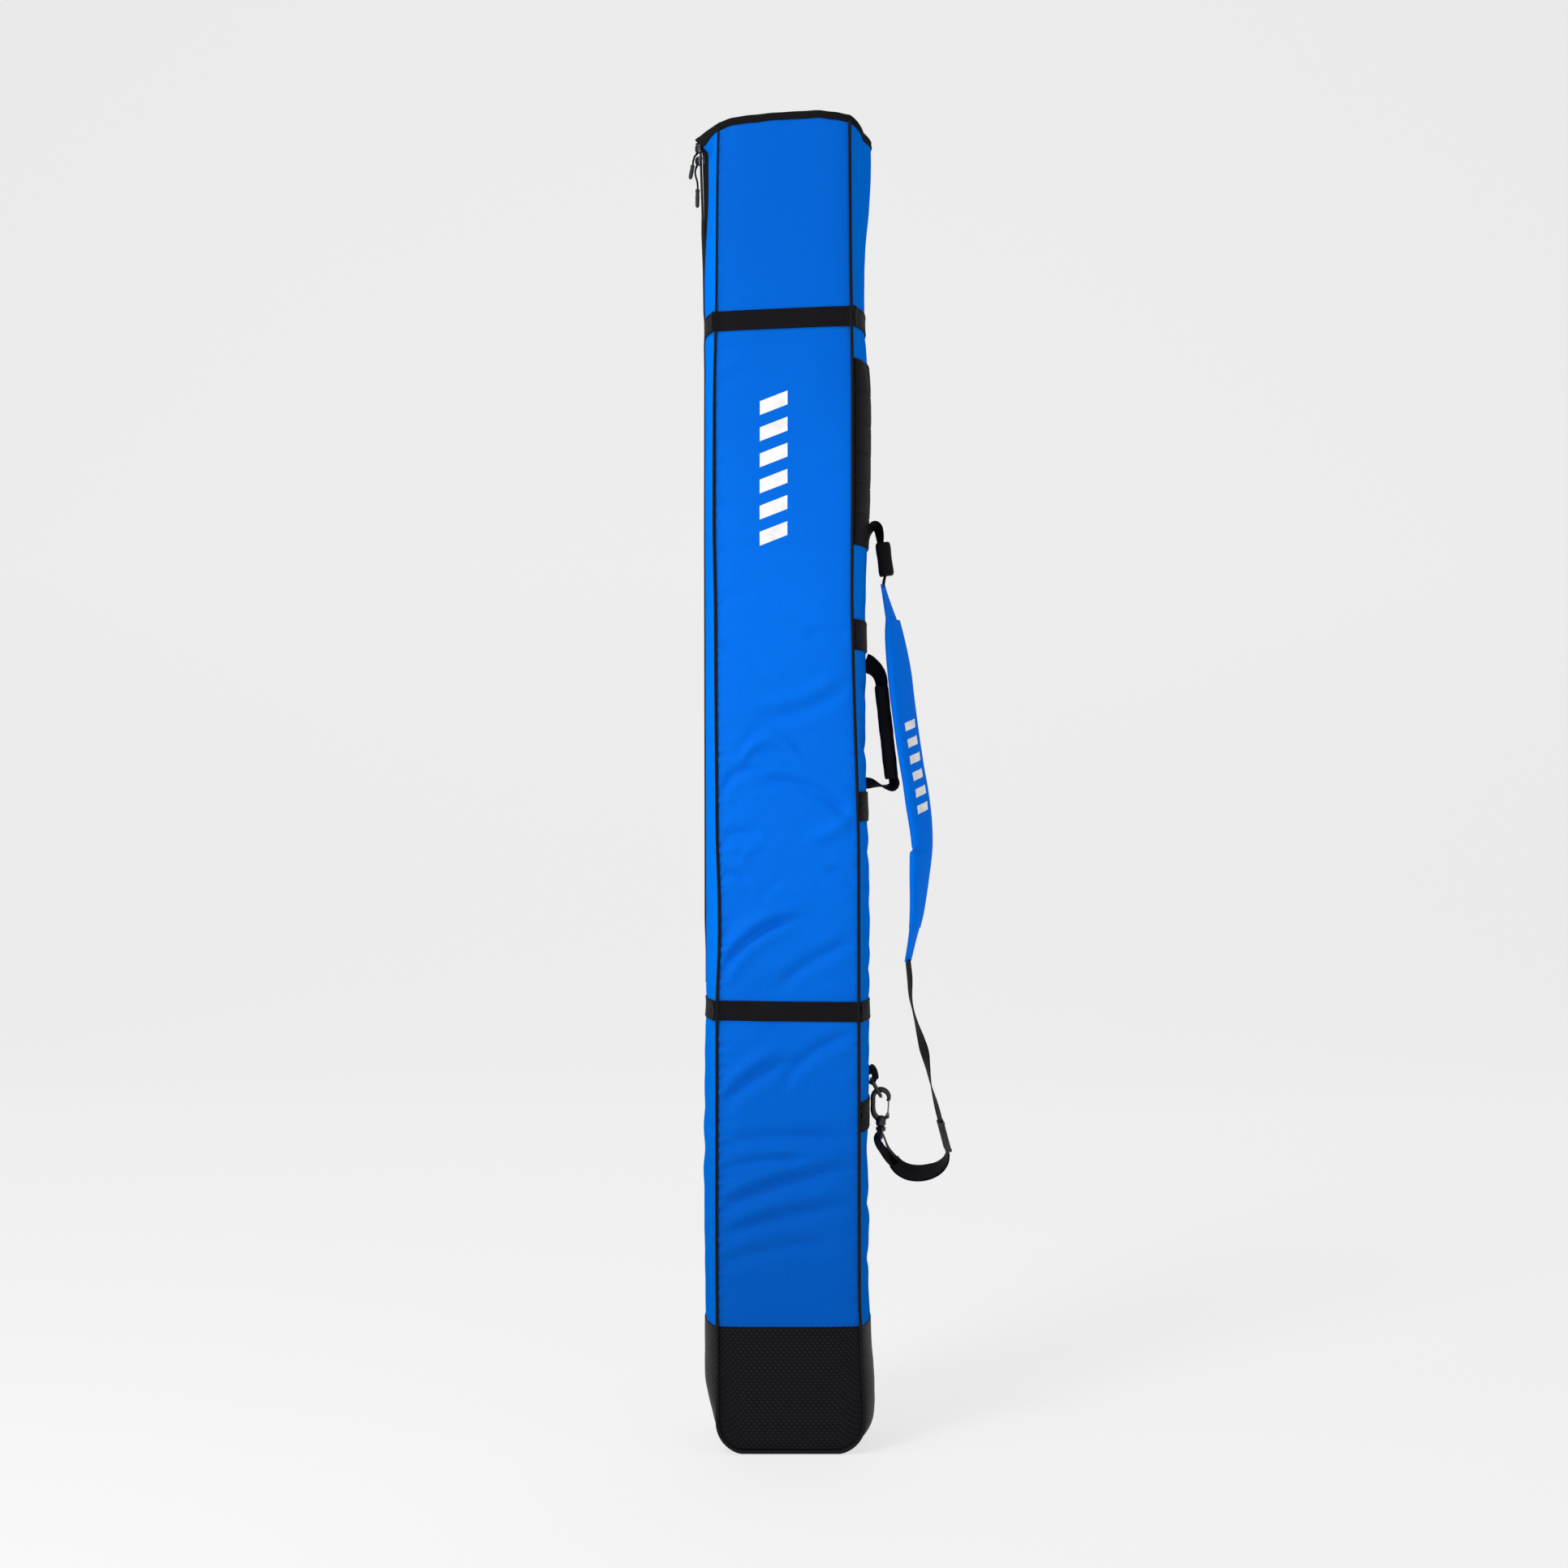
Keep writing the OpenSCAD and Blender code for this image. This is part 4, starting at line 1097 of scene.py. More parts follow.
def make_band(name, centre, tilt, closed):
    stations = around_bag(0.4 if closed else 9.5, 0.42)
    if closed:
        stations = stations[:-1]
    rings, stitch_lines = band_rings(stations, centre, tilt)
    verts, faces, uv = sweep_parts(rings, closed_caps=not closed)
    if closed:
        cols = rings.shape[1]
        last = (len(rings) - 1) * cols
        faces += [(last + j, last + (j + 1) % cols, (j + 1) % cols, j) for j in range(cols)]
    joined(name + "_webbing", [(verts, faces, uv)], "cross", body="bag", slot="webbing",
           nodes=[name], sharp=50)
    parts = []
    for group in stitch_lines:
        line, out = np.array([g[0] for g in group]), np.array([g[1] for g in group])
        parts += stitch_parts(line, out - line, 2.6, 1.4, 0.26)
    for x in (-70.0, 69.0):
        heights = np.linspace(centre - 12, centre + 12, 9) + tilt * x / HALF_WIDTH
        line = np.array([wall_point("front", (x + 5) / 89.0, z, -1.85) for z in heights])
        parts += stitch_parts(line, (0, -1, 0), 2.0, 0.7, 0.3)
    joined(name + "_stitches", parts, "thread", body="bag", slot="webbing")


make_band("upper_band", UPPER_BAND_Z, 4.0, False)
make_band("lower_band", LOWER_BAND_Z, -1.0, True)


def patch_parts(z0, z1, crown=0.5):
    """Webbing across the right gusset between two heights."""
    rows, cols = 26, 56
    t = 0.984 * np.sin(np.linspace(-math.pi / 2, math.pi / 2, cols))
    z = np.linspace(z0, z1, rows)[:, None] + 0 * t
    t = np.broadcast_to(t, z.shape)
    f = np.linspace(-1, 1, rows)[:, None] + 0 * t
    outer = right_wall(t, z, -1.7)
    outer[..., 0] += crown * (1 - f**4) + 0.15 * waves(t * 40, z, int(z0), 40, 20)
    return slab_parts(outer, right_wall(t, z, -0.1))


def patch_stitches(heights, inset):
    parts = []
    for z in heights:
        line = right_wall(np.linspace(-0.95, 0.95, 40), np.full(40, z), inset)
        parts += stitch_parts(line, (1, 0, 0), 2.6, 1.4, 0.26)
    return parts


def patch(name, z0, z1, nodes):
    joined(name, [patch_parts(z0, z1)], "cross", body="bag", slot="webbing", nodes=nodes)
    threads = patch_stitches((z0 + 2.6, z1 - 2.6), -2.1)
    joined(name + "_stitches", threads, "thread", body="bag", slot="webbing")


def make_patches():
    rows, threads = [], []
    z = 1185.0
    for _ in range(6):
        rows.append(patch_parts(z, z + 40.2, 0.9))
        threads += patch_stitches((z + 2.4, z + 37.8), -2.2)
        z += 40.6
    joined("webbing_panel_rows", rows, "cross", body="bag", slot="webbing", nodes=["webbing_panel"])
    joined("webbing_panel_stitches", threads, "thread", body="bag", slot="webbing")
    patch("upper_handle_patch", 1048, 1088, ["handle_patch_upper"])
    patch("lower_handle_patch", 824, 863, ["handle_patch_lower"])
    patch("ring_patch_webbing", 419, 458, ["ring_patch"])


make_patches()

# ---------------------------------------------------------------- the zip


TEETH_TOP = 1717


def make_zip():
    for sign, word in ((-1, "front"), (1, "back")):
        grids = []
        for inset in (1.35, 2.1):
            v = np.linspace(2.2 / HALF_D, V_TAPE, 10) * sign
            w = np.linspace(0, 1, 240)[:, None]
            z = ZIP_Z0 + (rim_height("left", v)[None, :] - 6 - ZIP_Z0) * w
            grids.append(left_wall(np.broadcast_to(v, z.shape), z, inset))
        slab("zip_tape_" + word + "_cloth", grids[0], grids[1], "tape", body="bag", slot="zip_tape",
             nodes=["zip_tape_" + word])
        make_teeth(sign, word)
    line_parts = []
    for sign in (-1, 1):
        for y in (11.0, 15.0):
            zs = np.arange(ZIP_Z0 + 4, 1724, 6.0)
            line = left_wall(np.full(len(zs), sign * y / HALF_D), zs, -0.05)
            line_parts += stitch_parts(line, (-1, 0, 0), 2.8, 1.4, 0.24)
    joined("zip_stitches", line_parts, "blue_thread", body="bag", slot="side_cloth")


def make_teeth(sign, word):
    """Moulded teeth: the two sides interlock, so one side is half a pitch above the other."""
    pitch = 2.6
    first = ZIP_Z0 + 10 + (0 if sign < 0 else pitch / 2)
    shape = [(3.4, 0.9), (1.6, 0.75), (0.4, 0.95), (-0.9, 0.95), (-1.3, 0.55)]
    corners = [(y, h) for y, h in shape] + [(y, -h) for y, h in reversed(shape)]
    parts = []
    for z in np.arange(first, TEETH_TOP, pitch):
        base = left_wall(np.float64(0.0), np.float64(z), 0.0)[0]
        verts = []
        proud = 0.9 + 1.4 * float(smoothstep(1640, 1600, z) * smoothstep(645, 700, z))
        for x in (base - proud, base + 2.2):
            verts += [(x, sign * y, z + h) for y, h in corners]
        n = len(corners)
        faces = [tuple(range(n)), tuple(range(2 * n - 1, n - 1, -1))]
        faces += [(j, (j + 1) % n, n + (j + 1) % n, n + j) for j in range(n)]
        parts.append((np.array(verts), faces, np.zeros((2 * n, 2))))
    joined("zip_teeth_" + word + "_row", parts, "teeth", body="bag", slot="zip_teeth",
           nodes=["zip_teeth_" + word], sharp=30)


make_zip()
for stop in ("zip_top_stops", "zip_bottom_stop"):
    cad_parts[stop].data.materials.clear()
    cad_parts[stop].data.materials.append(MATERIALS["slider"])

# ---------------------------------------------------------------- sliders and pulls


def zip_place(z):
    """Origin, outward and upward directions on the CAD zip line at a height."""
    lean = -math.atan(ZIP_LEAN)
    origin = np.array([-zip_reach(z), 0, z])
    up = np.array([math.sin(lean), 0, math.cos(lean)])
    out = np.array([-math.cos(lean), 0, math.sin(lean)])
    return origin, out, up


OUTLINE_POINTS = 28


def slider_outline(length, wide, narrow):
    """Slider body seen from outside: wide rounded shoulders and a narrower tail."""
    pts = []
    for i in range(OUTLINE_POINTS):
        a = 2 * math.pi * i / OUTLINE_POINTS
        z = length / 2 * math.sin(a)
        half = narrow + (wide - narrow) * smoothstep(-length / 2, length / 2.4, z)
        y = half * np.sign(math.cos(a)) * abs(math.cos(a)) ** 0.55
        pts.append((float(y), z))
    return pts


PLATE_BEVEL = 0.45


def slider_plate(origin, out, up, outline, near, far):
    """Bevelled plate between two distances from the zip's face."""
    side = np.array([0.0, 1.0, 0.0])
    rings = []
    levels = (near, near + PLATE_BEVEL, far - PLATE_BEVEL, far)
    for level, shrink in zip(levels, (PLATE_BEVEL, 0.0, 0.0, PLATE_BEVEL)):
        ring = []
        for y, z in outline:
            r = math.hypot(y, z)
            s = max(0.0, (r - shrink) / r)
            ring.append(origin + out * level + side * y * s + up * z * s)
        rings.append(ring)
    return sweep_parts(np.array(rings))


def make_slider(name, z, body, node):
    origin, out, up = zip_place(z)

    def place(pairs):
        """Points at heights along the zip and distances off it."""
        return [tuple(origin + up * h + out * d) for h, d in pairs]

    outline = slider_outline(13, 5.2, 3.9)
    parts = [slider_plate(origin, out, up, outline, near, far) for near, far in ((1.1, 2.6), (-4.9, -3.7))]
    for s in (-1, 1):
        rail = []
        for h in (-5, -2, 2, 5):
            rail.append(origin + up * h + np.array([0, s * (4.6 if h > 0 else 4.2), 0]) + out * 0.6)
        parts.append(tube_parts(np.array(rail), 0.75, 8, (1, 0, 0)))
    post = place([(3.5, d) for d in (-4, -1.5, 1.5)])
    parts.append(tube_parts(np.array(post), 0.9, 8))
    joined(name + "_body", parts, "slider", body=body, slot="dark_metal", nodes=[node], sharp=50)
    arch = [(-5.0, 2.2), (-4.6, 4.4), (-3.0, 5.7), (0.0, 6.1), (3.0, 5.7), (4.6, 4.4), (5.0, 2.2)]
    hood = [(4.6, 2.0), (3.2, 3.5), (1.0, 4.0), (-0.2, 2.2)]
    bail = []
    for row, count in ((arch, 26), (hood, 16)):
        bail.append(tube_parts(spline(place(row), count), 1.5, 12, (0, 1, 0), 1.2))
    joined(name + "_bail", bail, "hook", body=body, slot="dark_metal", nodes=[node], sharp=50)


make_slider("upper_slider", 1719.0, "upper_slider", "slider_upper")
make_slider("lower_slider", 1703.0, "lower_slider", "slider_lower")

CORD_UP_ROUTE = [(-119.7, 0, 1716.6), (-120.8, 0, 1713), (-123.9, -1.7, 1708.8), (-125, -3.8, 1704.5),
                 (-125.8, -5.1, 1700.8), (-126.1, -5.4, 1697)]
CORD_LOW_ROUTE = [(-119.6, 0, 1700.6), (-121.4, 1.6, 1696.5), (-123.4, 2.9, 1690.5), (-122.8, 3.8, 1684),
                  (-120.6, 4.4, 1676), (-120.0, 4.8, 1667)]


def make_pull_cord(word, route, body):
    """A doubled cord looped through the bail."""
    path = spline(route, 30)
    bar = path[0] + np.array([[0.0, y, 0.0] for y in np.linspace(-2.4, 2.4, 7)])
    parts = [tube_parts(bar, 0.95, 10, (0, 0, 1))]
    for s in (-1, 1):
        strand = path.copy()
        strand[:, 1] += s * (2.4 - 1.8 * smoothstep(0.0, 0.4, np.linspace(0, 1, 30)))
        parts.append(tube_parts(strand, 1.25, 10))
    joined(word + "_pull_cord", parts, "cord", body=body, slot="pull_cord", nodes=["pull_cord_" + word])


def make_pull_toggle(word, top, tip, body):
    """A moulded toggle with a waist and grip grooves."""
    top, tip = np.array(top, float), np.array(tip, float)
    way = unit(tip - top)
    long = np.linalg.norm(tip - top) + 4.4
    start = top - way * 2.2
    side = unit(np.cross(way, (0, 1, 0)))
    wide = unit(np.cross(side, way))
    across, rise = squircle(circle(20), 0.8)
    rings = []
    for f in np.linspace(0, 1, 46):
        end = min(f, 1 - f) * long
        swell = min(1.0, (end / 2.6)) ** 0.5 if end < 2.6 else 1.0
        waist = 1.0 - 0.16 * math.exp(-(((f - 0.28) / 0.13) ** 2))
        groove = 1.0 - 0.09 * (math.sin(f * long * 2 * math.pi / 2.3) > 0.2) * (0.4 < f < 0.86)
        half_wide = max(0.08, (3.2 - 0.6 * f) * swell * waist * (1 + groove) / 2)
        half_thick = max(0.08, 2.1 * swell * waist * groove)
        centre = start + way * f * long
        rings.append(centre + (half_wide * across)[:, None] * side + (half_thick * rise)[:, None] * wide)
    joined(word + "_pull_toggle", [sweep_parts(np.array(rings))], "pull", body=body, slot="pull_rubber",
           nodes=["pull_toggle_" + word], sharp=50)


for word, route, top, tip in (("upper", CORD_UP_ROUTE, (-126.4, -5.5, 1695), (-129.5, -5.7, 1679)),
                              ("lower", CORD_LOW_ROUTE, (-120.4, 4.9, 1665.6), (-120.7, 5.0, 1644))):
    make_pull_cord(word, route, word + "_pull")
    make_pull_toggle(word, top, tip, word + "_pull")

# ---------------------------------------------------------------- carry handle

GRIP_TOP = np.array([124.5, 0, 1004.0])
GRIP_LOW = np.array([138.3, 0, 880.0])


GRIP_WAY = unit(GRIP_LOW - GRIP_TOP)
GRIP_LONG = np.linalg.norm(GRIP_LOW - GRIP_TOP)
SIDEWAYS = np.array([0.0, 1.0, 0.0])
GRIP_OUT = unit(np.cross(SIDEWAYS, GRIP_WAY))
GRIP_POWER = 0.75


def make_grip():
    """The padded wrap round the handle, with the raised flap of its closure."""
    angles = circle(40)
    across, rise = squircle(angles, GRIP_POWER)
    flap = 0.6 * smoothstep(0.55, 0.75, np.sin(angles)) * (np.cos(angles) > 0)
    rings = []
    for f in np.linspace(0, 1, 60):
        end = min(f, 1 - f) * GRIP_LONG
        swell = 1.0 - 0.1 * math.exp(-end / 2.0)
        ripple = 0.18 * math.sin(f * GRIP_LONG / 7.0) + 0.1 * math.sin(f * GRIP_LONG / 3.1 + 1)
        r_out = (9.2 + ripple) * swell + flap
        r_side = (9.3 + ripple) * swell
        centre = GRIP_TOP + GRIP_WAY * f * GRIP_LONG
        rings.append(centre + (r_out * across)[:, None] * GRIP_OUT + (r_side * rise)[:, None] * SIDEWAYS)
    grip = joined("handle_grip_cover", [sweep_parts(np.array(rings))], "wrap", body="handle",
                  slot="wrap_fabric", nodes=["handle_grip"], sharp=55)


def make_grip_stitches():
    across, rise = squircle(np.linspace(0, 2 * math.pi, 60), GRIP_POWER)
    parts = []
    for f in (0.035, 0.965):
        centre = GRIP_TOP + GRIP_WAY * f * GRIP_LONG
        line = centre + (8.7 * across)[:, None] * GRIP_OUT + (9.6 * rise)[:, None] * SIDEWAYS
        parts += stitch_parts(line, line - centre, 2.2, 1.2, 0.24)
    joined("handle_grip_stitches", parts, "thread", body="handle", slot="wrap_fabric")


# Legs of the handle: x, z and turn of the webbing
UPPER_LEG = [(102.5, 1035, 68), (106, 1033.6, 66), (110, 1031, 60), (116, 1026.5, 48), (121.5, 1019.5, 40),
             (124.4, 1011, 36), (125.4, 1002, 32), (126.6, 990, 24)]
LOWER_LEG = [(138.5, 892, 24), (141, 880, 34), (141.6, 873.5, 42), (138.5, 869.4, 38), (132.5, 869, 18),
             (125.8, 870.6, 2), (118, 872.4, -20), (111, 873.8, -40), (106, 874.2, -46), (102.5, 874.4, -46)]


def make_handle_legs():
    """The webbing that leaves the gusset, bends out to the handle and ends in its grip."""
    for word, route, width, z in (("upper", UPPER_LEG, 26, 1031.0), ("lower", LOWER_LEG, 20, 874.0)):
        p = spline(in_plane(route), 60)
        rings = ribbon_rings(p[:, :3], p[:, 3], width, 2.6, 0.5)
        leg = joined("handle_leg_" + word, [sweep_parts(rings)], "webbing", slot="webbing",
                     nodes=["handle_webbing", "handle_root_" + word], sharp=60)
        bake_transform(leg)


make_grip()
make_grip_stitches()
make_handle_legs()

# ---------------------------------------------------------------- shoulder strap

# Routes of the strap's webbing: x, z and turn
ROOT_ROUTE = [(107.6, 1196, 0), (108.4, 1206, 10), (111.2, 1214.0, 18), (116, 1217.0, 21), (120.5, 1213, 21),
              (122.6, 1204, 19), (123.6, 1195, 16), (125.5, 1184, 10), (128, 1172, 4)]
TOP_ROUTE = [(129.5, 1165, 0), (130, 1152, 2), (128.2, 1144, 3), (127.0, 1134, 2)]
WRAP_TOP = 1194
WRAP_LONG = 43.5


def make_strap_top():
    """The sewn root, which bends out from the gusset, and the webbing that enters the pad."""
    p = spline(in_plane(ROOT_ROUTE), 70)
    rings = ribbon_rings(p[:, :3], p[:, 3], 28 - 8 * smoothstep(1206, 1180, p[:, 2]), 1.8, 0.6)
    root = joined("strap_root_strip", [sweep_parts(rings)], "webbing", slot="webbing",
                  nodes=["strap_root_webbing"], sharp=60)
    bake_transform(root)
    ribbon("strap_top_strip", in_plane(TOP_ROUTE), 20, 2.8, "webbing", 30, body="strap", slot="webbing",
           nodes=["strap_top_webbing"])


def make_strap_wrap():
    """Hook-and-loop wrap below the root, with the edge of its overlap."""
    angles = circle(36)
    across, rise = squircle(angles, 0.6, 0.5)
    flap = 1.3 * ((np.sin(angles) > -0.2) & (np.cos(angles) > 0.2))
    rings = []
    for f in np.linspace(0, 1, 30):
        end = min(f, 1 - f) * WRAP_LONG
        shrink = 1 - 0.12 * math.exp(-end / 1.5)
        half = (9.0 + flap + 0.25 * math.sin(f * 9)) * shrink
        z = WRAP_TOP - WRAP_LONG * f
        rings.append(np.stack([125.6 + 5.6 * f + half * across, 12.2 * rise * shrink, z + 1.1 * across], -1))
    joined("strap_wrap_cover", [sweep_parts(np.array(rings))], "wrap", body="strap", slot="wrap_fabric",
           nodes=["strap_wrap"], sharp=50)


make_strap_top()
make_strap_wrap()

# Pad stations: centre x, z, width, thickness, turn of the width from +X
PAD = [(140, 1092, 36, 9, 60), (142.3, 1071, 48, 12, 60), (145.6, 1047, 55, 13.6, 59),
       (149.1, 1020, 59, 13.8, 58), (152.7, 988, 60, 13.8, 58), (159, 940, 60, 13.8, 58),
       (165, 900, 60, 13.8, 58), (170.7, 867, 60, 13.8, 57.5), (175.6, 826, 60, 13.8, 57),
       (177.6, 786, 58, 13.8, 59), (175.4, 746, 54, 13.2, 63), (172.6, 706, 44, 11.5, 66),
       (169.2, 681, 36, 8.5, 67)]
SLEEVE_UP = [(126.6, 1138, 28, 4.4, 80), (131, 1120, 32, 5.0, 74), (139, 1089, 38, 7.4, 66)]
SLEEVE_LOW = [(169.4, 684, 38, 7.6, 69), (165.2, 662, 34, 5.6, 71), (160.2, 637, 29, 4.6, 72)]
NOTCH_Z = 785.5


def notched(p, q, z, w):
    """The step in the pad's left edge, and the pinch where it is sewn down."""
    drift = smoothstep(856, 790, z) * smoothstep(783.5, 786.5, z)
    p = p + 6.5 * drift * smoothstep(2, -w / 2, p)
    pinched = 0.6 * math.exp(-(((z - NOTCH_Z) / 3.2) ** 2))
    return p, q * (1 - pinched * smoothstep(12, -w / 2, p))


def pad_rings(stations, count, notch=False, pinch=1.0):
    """Rings of a stitched pad: crowned faces that meet in a seam at both edges."""
    across, rise = squircle(circle(48), 0.8)
    rings = []
    for x, _, z, w, t, turn in spline(in_plane(stations), count):
        p = w / 2 * across
        edge = w / 2 - np.abs(p)
        quilting = np.sign(rise) * 0.35 * np.sin(z / 9.0 + 2 * p / w) * smoothstep(0, 12, edge) * pinch
        q = t / 2 * rise + quilting
        if notch:
            p, q = notched(p, q, z, w)
        turn = math.radians(turn)
        ring_x = x + p * math.cos(turn) - q * math.sin(turn)
        ring_y = p * math.sin(turn) + q * math.cos(turn)
        rings.append(np.stack([ring_x, ring_y, np.full(len(p), z)], -1))
    return np.array(rings)


PAD_RINGS = 230
PAD_PRINT_FIRST = 33  # columns of the pad between which its print lies
PAD_PRINT_LAST = 39


def make_pad():
    rings = pad_rings(PAD, PAD_RINGS, notch=True)
    pad = joined("shoulder_pad_cover", [sweep_parts(rings)], "pad", body="strap", slot="pad_cloth",
                 nodes=["shoulder_pad"], sharp=70)
    threads = []
    for word, stations in (("upper", SLEEVE_UP), ("lower", SLEEVE_LOW)):
        rings = pad_rings(stations, 34, pinch=1.6)
        joined("pad_sleeve_" + word + "_cover", [sweep_parts(rings)], "pad", body="strap", slot="pad_cloth",
               nodes=["pad_sleeve_" + word], sharp=70)
        for k in (10, 14, 34, 38):
            line = rings[2:-2, k]
            centre = rings[2:-2].mean(1)
            threads += stitch_parts(line, line - centre, 2.4, 1.2, 0.24)
        for row in (1, len(rings) - 3) if word == "upper" else (2, len(rings) - 2):
            loop = np.concatenate([rings[row], rings[row][:1]])
            threads += stitch_parts(loop, loop - rings[row].mean(0), 2.4, 1.2, 0.24)
    joined("pad_stitches", threads, "blue_thread", body="strap", slot="pad_cloth")


make_pad()

STRAP_ROUTE = [(160, 640, 10), (162.5, 615, 10), (163.5, 590, 5), (167, 572, 1), (171.5, 555, 6),
               (177, 536, 15), (182, 517, 20), (186.5, 495, 9), (191, 471, -2), (198, 444.5, -12),
               (204.5, 420, -12), (211, 395.5, -8), (214.6, 382, -4)]
END_ROUTE = [(213.6, 381.5, 0), (210.4, 371.5, 8), (202, 362.5, 18), (190, 357, 27), (176, 354.5, 31),
             (161, 356, 32), (149, 362, 30), (141, 370.5, 27)]
END_LOOP = [(146, 365, 29), (140, 374, 20), (135.4, 383.5, 9), (131.8, 393, 3), (128.8, 401.5, 2),
            (126.4, 406.4, 2), (123.4, 407.6, 5), (120.6, 404.8, 10), (119.6, 399.5, 17), (122.4, 392, 22),
            (128.5, 383.5, 25), (136.0, 373.5, 28), (143.5, 366, 30)]


def make_strap_webbing():
    """The long run with the adjuster, and the doubled end that loops through the swivel's eye."""
    ribbon("strap_long_strip", in_plane(STRAP_ROUTE), 30, 1.6, "webbing", 150, body="strap", slot="webbing",
           nodes=["strap_webbing"])
    end = spline(in_plane(END_ROUTE), 90)
    _, side, _ = frames(end[:, :3])
    parts = [sweep_parts(ribbon_rings(end[:, :3] + gap * side, end[:, 3], 30, 1.5)) for gap in (-0.85, 0.85)]
    loop = spline(in_plane(END_LOOP), 110)
    parts.append(sweep_parts(ribbon_rings(loop[:, :3], loop[:, 3], 29.5, 1.5)))
    joined("strap_end_strip", parts, "webbing", body="strap", slot="webbing",
           nodes=["strap_end_webbing"], sharp=60)


make_strap_webbing()

# ---------------------------------------------------------------- hardware


def rounded_bar(a, b, wide, thick, wide_dir, bevel):
    """Bar between two points with a rounded rectangular section."""
    a, b = np.array(a, float), np.array(b, float)
    way = unit(b - a)
    w = unit(np.array(wide_dir, float) - np.dot(wide_dir, way) * way)
    h = np.cross(way, w)
    ring = []
    for sx, sy, start in ((1, 1, 0), (-1, 1, 90), (-1, -1, 180), (1, -1, 270)):
        for k in range(4):
            a_k = math.radians(start + 30 * k)
            across = sx * (wide / 2 - bevel) + bevel * math.cos(a_k)
            ring.append((across, sy * (thick / 2 - bevel) + bevel * math.sin(a_k)))
    rings = []
    long = np.linalg.norm(b - a)
    for d, s in ((0, 0.8), (0.5, 1.0), (long - 0.5, 1.0), (long, 0.8)):
        rings.append([a + way * d + w * x * s + h * y * s for x, y in ring])
    return sweep_parts(np.array(rings))


def make_adjuster():
    """Plastic frame of two side rails, two end bars and two middle bars."""
    way = unit(np.array([211, 0, 395.5]) - np.array([204.5, 0, 420]))
    side = np.array([0.0, 1.0, 0.0])
    out = np.array([-way[2], 0, way[0]])
    centre = np.array([208.6, 0, 404.5])
    rail = 17.4
    parts = []
    for s in (-1, 1):
        middle = centre + side * s * rail
        ends = [middle + way * d - out * 0.4 for d in (-20, 20)]
        parts.append(rounded_bar(*ends, 3.4, 8.2, side, 1.2))
    end_bars, middle_bars = (18.3, 3.0, 3.6, 2.8, 1.1), (2.6, -2.6, 2.6, 2.4, 1.0)
    for reach, lift, wide, thick, bevel in (end_bars, middle_bars):
        for d in (-reach, reach):
            a = centre + way * d + out * lift - side * rail
            parts.append(rounded_bar(a, a + side * 2 * rail, wide, thick, way, bevel))
    joined("adjuster_frame", parts, "plastic", body="adjuster", slot="black_plastic",
           nodes=["adjuster"], sharp=40)


make_adjuster()

BAR = np.array([111.5, 0, 479.0])
BOW = np.array([124.0, 0, 457.0])


def make_ring():
    way = unit(BOW - BAR)
    side = np.array([0.0, 1.0, 0.0])
    depth = np.linalg.norm(BOW - BAR)
    r = 13.0
    straight = depth - r
    path = [BAR + side * y for y in np.linspace(-9, 9, 7)]
    for a in np.linspace(0, math.pi / 2, 6)[1:]:
        path.append(BAR + side * (r - 3 + 3 * math.sin(a)) + way * (3 - 3 * math.cos(a)))
    for d in np.linspace(4, straight, 4):
        path.append(BAR + side * r + way * d)
    for a in np.linspace(0, math.pi, 20)[1:-1]:
        path.append(BAR + way * (straight + r * math.sin(a)) + side * r * math.cos(a))
    mirrored = [BAR - side * r + way * d for d in np.linspace(straight, 4, 4)]
    path += mirrored
    for a in np.linspace(math.pi / 2, 0, 6)[:-1]:
        path.append(BAR - side * (r - 3 + 3 * math.sin(a)) + way * (3 - 3 * math.cos(a)))
    path = np.array(path)
    parts = ring_tube(path, 2.3, way)
    joined("d_ring_wire", [parts], "plastic", body="d_ring", slot="black_plastic",
           nodes=["d_ring"], sharp=70)


def ring_tube(path, radius, plane_dir):
    """Closed tube along a flat loop."""
    count, sides = len(path), 14
    t = unit(np.roll(path, -1, 0) - np.roll(path, 1, 0))
    normal = unit(np.cross([0.0, 1.0, 0.0], plane_dir))
    inward = unit(np.cross(t, normal))
    a = circle(sides)
    across, rise = np.cos(a)[None, :, None], np.sin(a)[None, :, None]
    rings = path[:, None] + radius * (across * inward[:, None] + rise * normal)
    faces = grid_faces(count, sides, loop_rows=True, loop_cols=True)
    return rings.reshape(-1, 3), faces, np.zeros((count * sides, 2))


make_ring()


SWIVEL_X = 124.0
GATE_PIVOT = (133.3, 0, 433.2)
GATE_TIP = (134.2, 0, 451.6)


